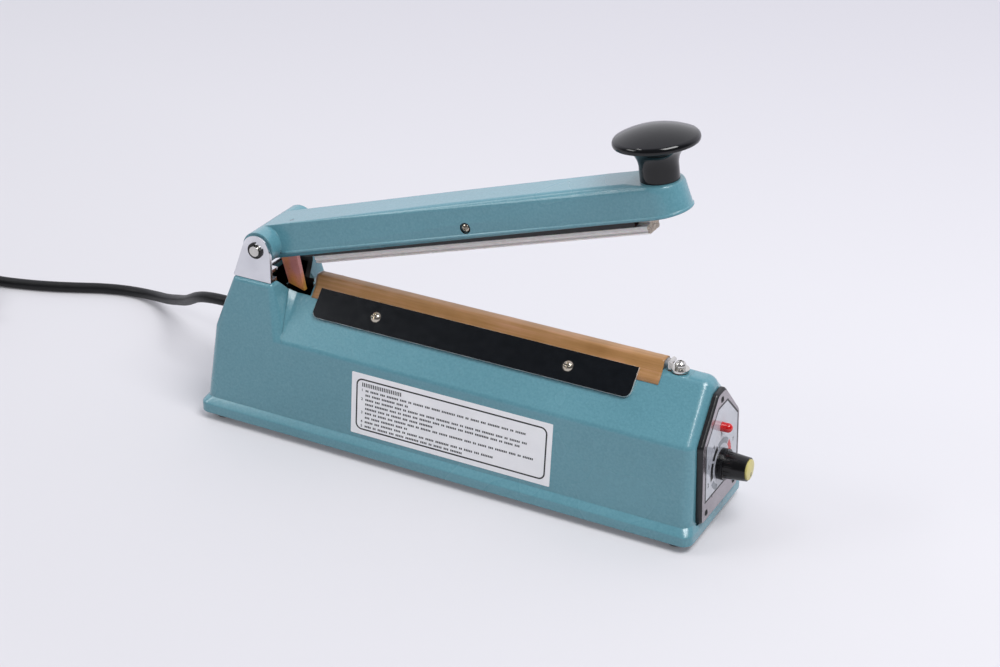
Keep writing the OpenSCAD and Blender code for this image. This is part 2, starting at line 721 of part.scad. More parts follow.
module pot_nut() color("lightgray") on_panel() difference() {
    translate([panel_t, 0, 0]) rotate([0, 90, 0]) cylinder(r = nut_r, h = nut_h, $fn = 6);
    pin_x(bushing_r + slip / 2, 0, panel_t + nut_h + cut);
}

module pot_shaft() color("lightgray") on_panel() pin_x(shaft_r, loose - shaft_in, dial_reach - 5);

// Dial: a plain skirt, a fluted body and a cap in its end
skirt_from = panel_t + 0.7;
flute_from = panel_t + 4;
flutes = 18;
flute_r = 0.6;
module dial_knob() color("black") on_panel() difference() {
    union() {
        pin_x(dial_d / 2, skirt_from, flute_from + 0.2);
        translate([flute_from, 0, 0]) rotate([0, 90, 0])
            cylinder(r1 = dial_d / 2 - 1, r2 = dial_d / 2 - 2, h = dial_reach - flute_from - 1.4);
    }
    for (k = [0:flutes - 1]) rotate([360 * k / flutes, 0, 0])
        translate([flute_from + flute_r, dial_d / 2 - 0.9, 0]) rotate([0, 90, 0])
            cylinder(r = flute_r, h = dial_reach - flute_from - 4 * flute_r, $fn = 16);
    pin_x(nut_r + 0.9, 0, panel_t + nut_h + 1.2);
    pin_x(shaft_r + running, 0, dial_reach - 5 + loose);
    pin_x(dial_d / 2 - cap_in, dial_reach - cap_t, dial_reach);
}

module dial_cap() color("khaki") on_panel() intersection() {
    pin_x(dial_d / 2 - cap_in - running, dial_reach - cap_t, dial_reach);
    translate([dial_reach - 30, 0, 0]) sphere(30, $fn = 240);
}

// Timer board behind the panel
module timer_board() color("darkgreen") on_panel() along_x(board_x, board_t) polygon(panel_points(board_in));

relay_size = [15, 19, 15.5];
relay_at = [-18, -14];
module timer_relay() color("royalblue") on_panel()
    translate([board_x - relay_size[0], relay_at[0], relay_at[1]]) cube(relay_size);

// Capacitors: places across and up the board, and radii
capacitors = [[-12, 12, 5], [12, 10, 4], [12, -6, 6]];
capacitor_l = 14;
module timer_capacitors() color("navy") on_panel() for (c = capacitors)
    translate([board_x, c[0], c[1]]) pin_x(c[2], -capacitor_l, 0);

// Transformer on the bottom plate
core_l = 60;
core_w = 30;
core_h = 50;
window_l = 10;
window_h = 30;
strap_t = 1.5;
strap_l = 82;
strap_w = 20;
strap_hole_in = 5;
winding_over = 9;
transformer_x = hinge_x + 150;
module at_transformer() translate([transformer_x, 0, plate_top + strap_t]) children();
module transformer_screw_places() for (s = [-1, 1])
    translate([transformer_x + s * (strap_l / 2 - strap_hole_in), 0, plate_top + strap_t]) children();

module transformer_core() color("slategray") at_transformer() difference() {
    translate([-core_l / 2, -core_w / 2, 0]) cube([core_l, core_w, core_h]);
    for (s = [-1, 1]) translate([s * (core_l / 4), 0, core_h / 2])
        cube([window_l, core_w + 2 * cut, window_h], center = true);
}

module transformer_winding() color("chocolate") at_transformer() translate([0, 0, core_h / 2]) difference() {
    cube([core_l / 2 + window_l - 2 * slip, core_w + 2 * winding_over, window_h - 2 * slip], center = true);
    cube([core_l / 2 - window_l + 2 * slip, core_w + 2 * slip, window_h], center = true);
}

module transformer_strap() color("silver") difference() {
    translate([transformer_x - strap_l / 2, -strap_w / 2, plate_top]) cube([strap_l, strap_w, strap_t]);
    transformer_screw_places() cylinder(r = screw_r + slip, h = 4 * strap_t, center = true);
}

module transformer_screws() color("lightgray") transformer_screw_places()
    dome_screw(screw_r, 3, 1.8, strap_t + plate_t);

// Switch in the pedestal, worked by the arm's tab through a lever
lug_t = 1;
lug_y = 2.7;
module microswitch() color("dimgray") {
    difference() {
        union() {
            translate([lever_x - switch_back, switch_y - switch_w / 2, lever_z - 2])
                cube([switch_d, switch_w, switch_l]);
            for (s = [-1, 1])
                translate([lever_x - 2, switch_y + s * lug_y - lug_t / 2, lever_z - 1.5 * pivot_r])
                    cube([4 * pivot_r, lug_t, 3 * pivot_r]);
        }
        switch_screw_places() pin_y(switch_screw_r + slip, switch_y - switch_w, switch_y + switch_w);
    }
    translate([lever_x, 0, lever_z]) pin_y(pivot_r, switch_y - lug_y + 0.4, switch_y + lug_y - 0.4);
}

module switch_screws() color("lightgray") switch_screw_places() translate([0, switch_y + switch_w / 2, 0])
    rotate([-90, 0, 0]) dome_screw(switch_screw_r, 2, 1.2, switch_screw_l);

module switch_lever() color("lightgray") translate([lever_x, switch_y, lever_z]) rotate([0, lever_lean, 0])
    difference() {
        union() {
            pin_y(1.5, -lever_half, lever_half);
            translate([-lever_t / 2, -lever_half, 0]) cube([lever_t, 2 * lever_half, lever_l]);
        }
        pin_y(pivot_r + running, -lever_half - cut, lever_half + cut);
    }

// Cord, from the gland out to its coil and plug
module cord_gland() color("black") gland_place() rotate_extrude() polygon([[0, -gland_deep - 3],
    [6.6, -gland_deep - 3], [7, -gland_deep], [gland_bore - running, -gland_deep], [gland_bore - running, 0],
    [8.5, 0], [8.5, 1.4], [6.2, 2.4], [4.4, gland_out], [0, gland_out]]);

cord_start = [gland_x - gland_out - mid_x, gland_y, gland_z];
tie_t = 1.4;
coil_gap = 0.8;
coil_low = tie_t + 0.4 + cord_d / 2;
coil_pitch = cord_d + coil_gap;
coil_at = [-400, -9];
coil_tail = 5;
cord_route = concat([cord_start], [
    [-176, gland_y, gland_z], [-187, 16.7, 45.8], [-197.5, 21.7, 41.3], [-208, 29.6, 34.3],
    [-219.5, 39.4, 26.3], [-233.5, 50, 18.6], [-248.5, 59.5, 11.6], [-263, 67, 6.8], [-277, 70.5, 4.2],
    [-291, 69.5, 3.4], [-305, 65, 3.3], [-319, 58.5, 3.3], [-334, 52, 3.3], [-350, 46.5, 3.3],
    [-366, 42, 3.6], [-380, 39.2, 4.4]],
    [for (step = [2, 1]) [coil_at[0] + step * cord_d, coil_at[1] + coil_r, coil_low]]);
module power_cord() color("black") tube(cord_route, cord_d, 10, [0, 0, 1]);

// The coil winds in on the floor, climbs in the half turn where it reverses, and winds out on top
loop_rings = 24;
lap = coil_turns * loop_rings;
half_lap = loop_rings / 2;
function coil_step(k) = k < lap + half_lap / 2 ? k : 2 * lap + half_lap - k;
function coil_radius(k) = coil_r - coil_pitch / loop_rings * coil_step(k);
function coil_height(k) = coil_low + coil_pitch * max(0, min(1, (k - lap) / half_lap));
coil_loops = [for (k = [0:2 * lap + half_lap]) let (a = 90 + 360 * k / loop_rings)
    [coil_at[0] + coil_radius(k) * cos(a), coil_at[1] + coil_radius(k) * sin(a), coil_height(k)]];
coil_end = coil_loops[len(coil_loops) - 1];
coil_path = concat([coil_loops[0] + [cord_d, 0, 0]], coil_loops,
    [coil_end - [0, 2 * cord_d, 0], coil_end - [0, coil_tail * cord_d, 0]]);
module cord_coil() color("black") tube(coil_path, cord_d, 6, [0, 0, 1]);

module cord_tie() color("dimgray") {
    inner = coil_radius(lap + half_lap / 2) - cord_d / 2 - 0.5;
    outer = coil_r + cord_d / 2 + 0.5;
    high = coil_low + coil_pitch + cord_d / 2 + 0.5;
    translate([coil_at[0], coil_at[1], 0]) across_y(-5, 5) difference() {
        translate([inner - tie_t, 0]) square([outer - inner + 2 * tie_t, high + tie_t]);
        translate([inner, tie_t]) square([outer - inner, high - tie_t]);
    }
}

plug_l = 38;
plug_w = 24;
plug_grip = 22;
plug_round = 5;
blade_t = 1.5;
blade_w = 6.3;
blade_l = 16;
blade_y = 6.35;
blade_low = -1.2;
earth_r = 2.4;
earth_l = 18;
earth_low = 7.2;
module at_plug() translate(coil_end - [0, coil_tail * cord_d, 0]) rotate([90, 0, 0]) children();
module plug_outline() {
    side = plug_w - 2 * plug_round;
    square([plug_w, side], center = true);
    square([side, plug_w], center = true);
    for (sx = [-1, 1], sy = [-1, 1]) translate([sx, sy] * side / 2) circle(plug_round);
}
module plug_body() color("black") at_plug() {
    cylinder(r1 = cord_d / 2 + 2.2, r2 = plug_w / 2 - 0.5, h = plug_grip);
    translate([0, 0, plug_grip - eps]) linear_extrude(plug_l - plug_grip + eps) plug_outline();
}
module plug_blades() color("gold") at_plug() translate([0, 0, plug_l]) {
    for (s = [-1, 1]) translate([s * blade_y - blade_t / 2, blade_low, 0]) cube([blade_t, blade_w, blade_l]);
    translate([0, -earth_low, 0]) cylinder(r = earth_r, h = earth_l);
}

// Arm: rounding of its top edge and of the nose's lower edge
arm_round = 2.5;
nose_edge = 0.6;
// Rounded seat of the knob, as depths and radii
seat_steps = [[0, 11.6], [0.5, 12.7], [1.6, 13.4], [3.4, 13.8]];
// Lip along the lower edge
lip_out = 0.5;
lip_h = 1.8;
lip_round = 0.5;
// Stations of the top edge, as distance from the hinge and height above it
arm_stations = [[25, 9.8], [120, arm_rise - 0.7], [front_u - 31, arm_rise - 0.1],
    [front_u - 14, arm_rise - 0.2]];

module arm_form() hull() {
    pin_y(hub_r, -hub_in + 1.5, hub_in - 1.5);
    both_sides() {
        for (p = arm_stations) translate([p[0], arm_top_half - arm_round, p[1] - arm_round])
            sphere(arm_round, $fn = 24);
        translate([hub_r, arm_half - 1, 1 - arm_drop]) sphere(1, $fn = 16);
    }
    translate([front_u, 0, -arm_drop]) cylinder(r = arm_half - nose_edge, h = 1);
    translate([front_u, 0, nose_edge - arm_drop]) cylinder(r = arm_half, h = 1);
    translate([knob_u, 0, seat_v]) rotate([0, knob_lean, 0]) for (step = seat_steps)
        translate([-1, 0, -step[0] - eps]) cylinder(r = step[1], h = eps);
}

module arm_lip() hull() {
    for (step = [[0, lip_round], [lip_round, 0], [lip_h - lip_round, 0], [lip_h, lip_round]])
        translate([0, 0, step[0] - arm_drop]) {
            translate([front_u, 0, 0]) cylinder(r = arm_half + lip_out - step[1], h = eps);
            both_sides() translate([hub_r + lip_h, 0, 0]) cube([eps, arm_half + lip_out - step[1], eps]);
        }
}

module arm_casting() color("cadetblue") difference() {
    union() {
        on_arm() difference() {
            union() {
                arm_form();
                arm_lip();
            }
            along_x(-cavity_start, cavity_end + cavity_start) polygon([[-11.2, -arm_drop - 20],
                [11.2, -arm_drop - 20], [10.5, 2], [9, cavity_top], [-9, cavity_top], [-10.5, 2]]);
        }
        on_arm() both_sides() pin_y(hub_r, hub_in - 1.8, ear_half - ear_t - loose);
    }
    on_arm() {
        pin_y(pin_r + running, -ear_half, ear_half);
        translate([strip_screw_u, 0, strip_screw_v]) pin_y(strip_screw_r + loose, -ear_half, ear_half);
        both_sides() translate([strip_screw_u, 0, strip_screw_v])
            pin_y(strip_head_r + loose, strip_seat, ear_half);
        translate([tab_screw_u, tab_screw_y, 0])
            cylinder(r = strip_screw_r + running, h = cavity_top + tab_deep);
    }
    on_knob() {
        translate([0, 0, -knob_h]) cylinder(r = knob_screw_r + 2 * slip, h = 2 * knob_h);
        translate([0, 0, -knob_h]) cylinder(r = knob_screw_head + 0.5, h = knob_h - screw_seat);
    }
}
strip_screw_u = 128.5;
strip_screw_v = -2;
strip_seat = arm_half - 1.3;
strip_head_r = 2.7;
screw_seat = 9;
knob_screw_head = 5.5;
tab_screw_u = 16;
tab_screw_y = switch_y - 2.2;
tab_deep = 3.2;

// Holder of the silicone strip, with a slot that the strip's root slides into
root_half = 4.5;
root_h = 2;
neck_half = 2.6;
neck_h = 2;
holder_over = 6;
module strip_holder() color("black") on_arm() difference() {
    along_x(strip_u - holder_over, holder_end - strip_u + holder_over) difference() {
        union() {
            translate([-holder_half, 1 - arm_drop]) square([2 * holder_half, arm_drop]);
            translate([-strip_half - 0.4, -holder_low]) square([2 * strip_half + 0.8, arm_drop + 1]);
        }
        translate([-neck_half - slip, -holder_low - cut])
            square([2 * (neck_half + slip), neck_h + root_h + cut]);
        translate([-root_half - slip, neck_h - holder_low])
            square([2 * (root_half + slip), root_h + 2 * slip]);
    }
    translate([strip_screw_u, 0, strip_screw_v]) pin_y(strip_screw_r + running, -arm_half, arm_half);
}

// Half section of the strip: a blunt foot, a groove along its side, and a root like a T
strip_top = -holder_low - slip;
strip_side = [[strip_half - 2, -strip_low], [strip_half, 0.25 * strip_h - strip_low],
    [strip_half - 0.7, 0.45 * strip_h - strip_low], [strip_half, 0.65 * strip_h - strip_low],
    [strip_half, strip_top], [neck_half, strip_top], [neck_half, neck_h - holder_low + slip],
    [root_half, neck_h - holder_low + slip], [root_half, neck_h + root_h - holder_low]];
module silicone_strip() color("lightgray") on_arm() along_x(strip_u, strip_l) polygon(concat(strip_side,
    [for (i = [len(strip_side) - 1:-1:0]) [-strip_side[i][0], strip_side[i][1]]]));

module strip_screws() color("lightgray") on_arm() translate([strip_screw_u, 0, strip_screw_v]) both_sides()
    translate([0, strip_seat, 0]) rotate([-90, 0, 0]) dome_screw(strip_screw_r, strip_head_r, 1.8, 7);

// Mushroom knob, turned: a neck that flares out under the rim, and a low dome
stem_r = 10;
stem_h = 7;
flare_r = 12;
rim_round = 2.6;
rim_under = 1.2;
rim_a = 64;
rim_h = stem_h + flare_r + rim_under;
thread_l = 12;
dome_edge = knob_d / 2 - rim_round * (1 - cos(rim_a));
dome_h = knob_h - rim_h - rim_round * sin(rim_a);
dome_r = (dome_edge * dome_edge + dome_h * dome_h) / (2 * dome_h);
module knob_profile() difference() {
    union() {
        square([knob_d / 2 - rim_round, rim_h + cut]);
        translate([knob_d / 2 - rim_round, rim_h]) circle(rim_round);
        intersection() {
            translate([0, rim_h]) square([dome_edge, knob_h]);
            translate([0, knob_h - dome_r]) circle(dome_r, $fn = 200);
        }
    }
    translate([stem_r + flare_r, stem_h]) circle(flare_r);
    translate([stem_r, -cut]) square([knob_d, stem_h + cut]);
    translate([stem_r + flare_r, -cut]) square([knob_d, stem_h + flare_r + cut]);
    translate([-knob_d, -knob_d]) square([knob_d, 3 * knob_d]);
}
module press_knob() color("black") on_knob() difference() {
    rotate_extrude() knob_profile();
    translate([0, 0, -cut]) cylinder(r = knob_screw_r + slip, h = thread_l + cut);
}

module knob_screw() color("lightgray") on_knob() translate([0, 0, -screw_seat])
    rotate([180, 0, 0]) dome_screw(knob_screw_r, knob_screw_head, 3, screw_seat + thread_l - 2);

// Tab that hangs from the arm through the case's notch and works the switch
flange_t = 1.5;
flange_top = cavity_top - slip;
tab_outline = [[4.6, flange_top], [12, flange_top], [11.2, -12], [9.3, -32], tab_back, [0.8, -12],
    [4.6, -6]];
module switch_actuator() color("peru") on_arm() difference() {
    union() {
        across_y(switch_y - tab_t / 2, switch_y + tab_t / 2) polygon(tab_outline);
        translate([8, tab_screw_y - 2.3, flange_top - flange_t]) cube([12, 6, flange_t]);
    }
    translate([tab_screw_u, tab_screw_y, 0]) cylinder(r = strip_screw_r + running, h = cavity_top + cut);
}
module actuator_screw() color("lightgray") on_arm()
    translate([tab_screw_u, tab_screw_y, flange_top - flange_t]) rotate([180, 0, 0])
        dome_screw(strip_screw_r, 2.2, 1.6, flange_t + tab_deep - loose);

// Least gaps of the coil and of the spring to themselves
echo(coil_gap_mm = least_gap(coil_path, 18, cord_d), spring_gap_mm = least_gap(spring_coil, 6, spring_d));

centred() base_casting();
centred() bottom_plate();
centred() rubber_feet();
centred() foot_screws();
centred() hinge_bracket();
centred() bracket_screws();
centred() hinge_pin();
centred() pin_clips();
centred() return_spring();
centred() heater_bar();
centred() heating_ribbon();
centred() release_cloth();
centred() near_clamp_plate();
centred() far_clamp_plate();
centred() clamp_screws();
centred() terminal_insulators();
centred() front_terminal();
centred() front_terminal_nut();
centred() front_terminal_screw();
centred() rear_terminal();
centred() rear_terminal_screw();
centred() panel_bezel();
centred() panel_plate();
centred() panel_screws();
centred() lamp_lens();
centred() lamp_holder();
centred() potentiometer();
centred() pot_nut();
centred() timer_board();
centred() timer_relay();
centred() timer_capacitors();
centred() transformer_core();
centred() transformer_winding();
centred() transformer_strap();
centred() transformer_screws();
centred() microswitch();
centred() switch_screws();
centred() cord_gland();
power_cord();
cord_coil();
cord_tie();
plug_body();
plug_blades();
centred() arm_casting();
centred() strip_holder();
centred() silicone_strip();
centred() strip_screws();
centred() press_knob();
centred() knob_screw();
centred() switch_actuator();
centred() actuator_screw();
centred() dial_knob();
centred() dial_cap();
centred() pot_shaft();
centred() switch_lever();
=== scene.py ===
# %% [markdown]
# Dressing a hand impulse sealer
#
# The solids of the machine are already made, at their real size and in their real places. This lesson
# loads them as a fixed frame and gives every surface the finish that it has on the real machine:
# hammered paint on the castings, bright plating on the hinge, coated cloth over the heated line, a
# printed panel. The solids are never moved. A surface that needs a finer form gets a new piece, which
# stands for the solid.

# %% Load the frame
import itertools
import json
import math

import bmesh
import bpy
from mathutils import Matrix, Vector, noise
from mathutils.bvhtree import BVHTree

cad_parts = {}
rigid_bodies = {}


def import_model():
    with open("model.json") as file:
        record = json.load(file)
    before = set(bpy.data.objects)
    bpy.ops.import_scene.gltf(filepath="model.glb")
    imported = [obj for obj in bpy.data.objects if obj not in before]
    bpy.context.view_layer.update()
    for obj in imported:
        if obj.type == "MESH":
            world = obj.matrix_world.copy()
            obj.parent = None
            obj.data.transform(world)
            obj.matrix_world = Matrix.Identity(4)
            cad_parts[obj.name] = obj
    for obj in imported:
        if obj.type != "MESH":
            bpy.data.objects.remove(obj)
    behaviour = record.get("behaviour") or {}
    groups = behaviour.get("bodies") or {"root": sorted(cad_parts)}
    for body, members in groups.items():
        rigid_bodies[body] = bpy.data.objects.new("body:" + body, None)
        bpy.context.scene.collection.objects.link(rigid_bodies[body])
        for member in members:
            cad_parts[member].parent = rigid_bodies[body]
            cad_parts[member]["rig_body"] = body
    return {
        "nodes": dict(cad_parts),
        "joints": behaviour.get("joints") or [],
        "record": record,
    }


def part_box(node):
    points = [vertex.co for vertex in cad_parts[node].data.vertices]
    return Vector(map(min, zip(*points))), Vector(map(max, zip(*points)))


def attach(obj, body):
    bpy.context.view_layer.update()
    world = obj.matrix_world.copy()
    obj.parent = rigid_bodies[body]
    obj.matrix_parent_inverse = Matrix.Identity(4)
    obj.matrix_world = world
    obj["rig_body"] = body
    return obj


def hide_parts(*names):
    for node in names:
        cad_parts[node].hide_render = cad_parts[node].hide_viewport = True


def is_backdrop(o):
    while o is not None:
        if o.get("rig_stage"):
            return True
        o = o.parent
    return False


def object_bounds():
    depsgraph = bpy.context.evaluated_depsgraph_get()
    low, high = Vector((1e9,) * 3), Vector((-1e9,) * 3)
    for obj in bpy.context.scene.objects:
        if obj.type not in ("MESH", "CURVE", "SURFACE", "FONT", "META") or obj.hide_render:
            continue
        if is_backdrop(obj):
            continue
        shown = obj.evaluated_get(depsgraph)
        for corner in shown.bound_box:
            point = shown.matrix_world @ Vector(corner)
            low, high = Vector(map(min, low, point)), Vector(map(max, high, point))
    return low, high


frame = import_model()
cad_box = [list(corner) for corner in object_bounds()]
MM = 0.001
scene = bpy.context.scene
slot_of = {part["node"]: part["material_slot"] for part in frame["record"]["subparts"]}
print(len(frame["nodes"]), "solids in a box", cad_box)

# %% [markdown]
# The camera stands where the photographer stood. Its place, its turn and its focal length in pixels were
# worked out from straight edges of the case. A camera's matrix has its right, up and back directions as
# columns, so it can be written down directly, and no empty object has to be tracked.

# %% Camera
PHOTO_W = 1000
focal_px = 2063.93
eye = Vector((456.866, -865.918, 578.425)) * MM
azimuth = 0.473506
elevation = 0.473837
roll = 0.015489
level = math.cos(elevation)
back = Vector((math.sin(azimuth) * level, -math.cos(azimuth) * level, math.sin(elevation)))
right = Vector((math.cos(azimuth), math.sin(azimuth), 0))
turn = Matrix((right, back.cross(right), back)).transposed().to_4x4()
camera = bpy.data.objects.new("camera", bpy.data.cameras.new("camera"))
scene.collection.objects.link(camera)
camera.data.lens = focal_px / PHOTO_W * camera.data.sensor_width
camera.matrix_world = Matrix.Translation(eye) @ turn @ Matrix.Rotation(roll, 4, "Z")
scene.camera = camera
print("lens", round(camera.data.lens, 2), "mm")

# %% [markdown]
# A finish is a small network of shader nodes. Networks are easier to read as formulas, so one class wraps
# a socket: arithmetic on it adds Math nodes, and every other node comes from its method make, which sets
# the node's own settings first and then fills its sockets with numbers, colours or links.


# %% Shader sockets as Python values
class Socket:
    def __init__(self, tree, socket):
        self.tree = tree
        self.socket = socket

    def make(self, kind, settings=None, inputs=None, out=0):
        node = self.tree.nodes.new(kind)
        for name, value in (settings or {}).items():
            if name == "stops":
                set_stops(node.color_ramp, value)
            else:
                setattr(node, name, value)
        for name, value in (inputs or {}).items():
            if isinstance(value, Socket):
                self.tree.links.new(value.socket, node.inputs[name])
            else:
                node.inputs[name].default_value = value
        return Socket(self.tree, node.outputs[out])

    def math(self, operation, first, second):
        return self.make("ShaderNodeMath", {"operation": operation}, {0: first, 1: second})

    def __add__(self, other):
        return self.math("ADD", self, other)

    __radd__ = __add__

    def __sub__(self, other):
        return self.math("SUBTRACT", self, other)

    def __rsub__(self, other):
        return self.math("SUBTRACT", other, self)

    def __mul__(self, other):
        return self.math("MULTIPLY", self, other)

    __rmul__ = __mul__

    def noise(self, scale, detail=2.0):
        inputs = {"Vector": self, "Scale": scale, "Detail": detail}
        return self.make("ShaderNodeTexNoise", None, inputs)

    def stretched(self, scale):
        return self.make("ShaderNodeMapping", None, {"Vector": self, "Scale": scale})

    def colour(self, *stops):
        settings = {"stops": stops}
        return self.make("ShaderNodeValToRGB", settings, {"Fac": self})

    def bump(self, height_mm, round_mm=0.0):
        inputs = {"Height": self, "Distance": height_mm * MM}
        if round_mm:
            inputs["Normal"] = self.make("ShaderNodeBevel", {"samples": 8}, {"Radius": round_mm * MM})
        return self.make("ShaderNodeBump", None, inputs)


def set_stops(ramp, stops):
    while len(ramp.elements) < len(stops):
        ramp.elements.new(0.5)
    for element, (place, colour) in zip(ramp.elements, stops):
        element.position = place
        element.color = (*colour, 1)


def srgb(*levels):
    """A colour as a picture shows it, from 0 to 255, as the linear numbers that shaders use."""
    return tuple(((v / 255 + 0.055) / 1.055) ** 2.4 if v > 10 else v / 255 / 12.92 for v in levels)


print("a mid grey is", [round(v, 3) for v in srgb(128, 128, 128)])

# %% [markdown]
# Every finish is one material with a Principled shader. Numbers that are the same all over the surface
# are set on the shader's own sockets, and only what varies is linked. Patterns read Object coordinates,
# which are metres here, so a noise of scale 1000 has features of about a millimetre. Two general finishes
# serve most pieces: a plain one of two close tones, and a metal with polishing marks.

# %% Materials
polish_mm = 0.004


def finish(name, build, coordinates="Object", **constants):
    material = bpy.data.materials.new(name)
    material.use_nodes = True
    tree = material.node_tree
    shader = tree.nodes["Principled BSDF"]
    for socket, value in constants.items():
        shader.inputs[socket.replace("_", " ")].default_value = value
    place = Socket(tree, tree.nodes.new("ShaderNodeTexCoord").outputs[coordinates])
    for socket, value in build(place).items():
        tree.links.new(value.socket, shader.inputs[socket])
    return material


def plain(dark, light, grain, rough, spread=0.1, bump_mm=0.0):
    """A finish of two close tones with some grain, for mouldings, rubber, board and the like."""

    def build(place):
        fine = place.noise(grain, 4)
        made = {"Base Color": fine.colour((0.3, dark), (0.7, light)),
                "Roughness": rough + spread * (fine - 0.5)}
        if bump_mm:
            made["Normal"] = fine.bump(bump_mm)
        return made

    return build


def metal(dark, light, rough, along=(1, 1, 1), grain=600):
    """Metal with faint rolling or polishing marks, drawn out along an axis by the scale given."""

    def build(place):
        marks = place.stretched(along).noise(grain, 4)
        cloud = place.noise(60)
        return {"Base Color": cloud.colour((0.3, dark), (0.7, light)),
                "Roughness": rough + 0.16 * (marks - 0.45),
                "Normal": marks.bump(polish_mm)}

    return build


print("two general finishes, plain and metal, with marks", polish_mm, "mm deep")

# %% [markdown]
# The castings have hammered paint: a hard gloss over an uneven blue-green layer. The small dimples come
# from two noises of about a millimetre that feed the bump, and the coarser one also feeds the colour, so
# that the pits are painted darker than the peaks, as painted shade in the dimples. Paint is thick, so it
# fills corners and rounds edges off: a Bevel node under the bump gives the light that roundness, on top of
# the real bevel of the mesh.


# %% Hammered paint
def hammered(place):
    peel = place.noise(800, 2)
    fine = place.noise(1700, 1)
    cloud = place.noise(14)
    # The colour darkens with the dimples' noise, which is painted shade in the pits, and drifts with a slow
    # random tone.
    pit_shade_and_tone = 0.6 * peel + 0.4 * cloud
    colour = pit_shade_and_tone.colour((0.3, srgb(85, 136, 149)), (0.5, srgb(92, 144, 157)), (0.7, srgb(100, 151, 164)))
    return {"Base Color": colour, "Roughness": 0.26 + 0.1 * (cloud - 0.5),
            "Normal": (peel + 0.3 * fine).bump(height_mm=0.1, round_mm=0.8)}


teal_paint = finish("teal_paint", hammered, Coat_Weight=0.4, Coat_Roughness=0.1)
print(teal_paint.name, "has", len(teal_paint.node_tree.nodes), "nodes")

# %% [markdown]
# Black parts are never pure black: they keep a little blue and a slight change of gloss. One black for all
# would be shorter, but enamel, polished knob, moulding and rubber differ in gloss, and the eye sees that
# first.

# %% Black finishes
black_enamel = finish(
    "black_enamel", plain(srgb(1, 5, 10), srgb(4, 9, 15), grain=240, rough=0.2, spread=0.12),
    Specular_IOR_Level=0.36)
black_gloss = finish(
    "black_gloss", plain(srgb(4, 5, 7), srgb(8, 9, 12), grain=300, rough=0.1, spread=0.06),
    Specular_IOR_Level=0.45)
black_trim = finish(
    "black_trim", plain(srgb(12, 13, 16), srgb(20, 22, 26), grain=900, rough=0.3))
black_moulding = finish(
    "black_moulding",
    plain(srgb(6, 7, 9), srgb(11, 12, 15), grain=1500, rough=0.3, spread=0.15, bump_mm=0.01))
dial_black = finish(
    "dial_black", plain(srgb(3, 3, 4), srgb(7, 7, 9), grain=1500, rough=0.22, bump_mm=0.01),
    Specular_IOR_Level=0.4)
black_rubber = finish(
    "black_rubber",
    plain(srgb(20, 20, 22), srgb(32, 32, 35), grain=1200, rough=0.6, spread=0.2, bump_mm=0.03))
cord_jacket = finish(
    "cord_jacket",
    plain(srgb(5, 6, 8), srgb(10, 11, 14), grain=700, rough=0.45, spread=0.2, bump_mm=0.02),
    Specular_IOR_Level=0.35)
print(len(bpy.data.materials), "materials so far")

# %% [markdown]
# Metals take nearly all of their colour from what they mirror, so the tones are close together and the
# roughness does the work. Rolled sheet has its marks drawn out along one axis.

# %% Metals
bright_steel = finish(
    "bright_steel", metal(srgb(196, 194, 190), srgb(226, 224, 220), rough=0.2), Metallic=1.0)
nickel = finish("nickel", metal(srgb(176, 168, 154), srgb(206, 199, 186), rough=0.12), Metallic=1.0)
chrome_sheet = finish(
    "chrome_sheet", metal(srgb(214, 215, 220), srgb(236, 237, 241), rough=0.2, along=(1, 1, 6), grain=300),
    Metallic=1.0)
cut_edge = finish("cut_edge", metal(srgb(216, 214, 211), srgb(240, 238, 235), rough=0.35), Metallic=0.7)
zinc_sheet = finish(
    "zinc_sheet", metal(srgb(170, 174, 178), srgb(200, 204, 208), rough=0.35, along=(1, 8, 1), grain=120),
    Metallic=1.0)
panel_metal = finish(
    "panel_metal", metal(srgb(148, 141, 147), srgb(168, 161, 166), rough=0.22, along=(1, 1, 4), grain=40),
    Metallic=0.8)
bar_metal = finish(
    "bar_metal", metal(srgb(150, 150, 150), srgb(185, 185, 184), rough=0.4, along=(0.2, 4, 4)),
    Metallic=1.0)
brass = finish("brass", metal(srgb(198, 160, 84), srgb(224, 190, 112), rough=0.25), Metallic=1.0)
print(len(bpy.data.materials), "materials so far")

# %% [markdown]
# The switch tab has a passivated plating whose thin film runs from gold to copper to pink. A thin-film
# shader could work that out, but a slow noise through a colour ramp gives the same drift and bakes well.


# %% Plating and small coloured parts
def film(place):
    drift = place.stretched((1, 1, 0.6)).noise(70, 1)
    marks = place.noise(900)
    colour = drift.colour((0.36, srgb(236, 140, 96)), (0.5, srgb(252, 190, 84)),
                          (0.6, srgb(250, 160, 104)), (0.7, srgb(240, 158, 150)))
    return {"Base Color": colour, "Roughness": 0.3 + 0.2 * (marks - 0.5), "Normal": marks.bump(polish_mm)}


copper_film = finish("copper_film", film, Metallic=0.1)
red_lens = finish(
    "red_lens", plain(srgb(186, 6, 8), srgb(206, 18, 18), grain=200, rough=0.14, spread=0.05),
    Coat_Weight=0.4, Coat_Roughness=0.04, Subsurface_Weight=0.2, Subsurface_Scale=0.002)
cap_yellow = finish("cap_yellow", plain(srgb(198, 187, 112), srgb(210, 199, 128), grain=260, rough=0.3))
phenolic = finish(
    "phenolic",
    plain(srgb(96, 56, 36), srgb(128, 78, 50), grain=500, rough=0.5, spread=0.2, bump_mm=0.02))
print(len(bpy.data.materials), "materials so far")

# %% [markdown]
# Most solids already have the right shape, and want only softer edges. A copy of the solid's mesh is
# merged, because it comes as loose triangles, its flat areas are joined into single faces, and its sharp
# edges get a small bevel, as no real edge is perfectly sharp. The copy rides the solid's body and stands
# for the solid.

# %% Dressing a solid
weld_mm = 0.002
flat_degrees = 0.5


def show(name, mesh, body, slot):
    piece = bpy.data.objects.new(name, mesh)
    scene.collection.objects.link(piece)
    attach(piece, body)
    return piece


def smooth(mesh, crease):
    mesh.shade_smooth()
    mesh.set_sharp_from_angle(angle=math.radians(crease))


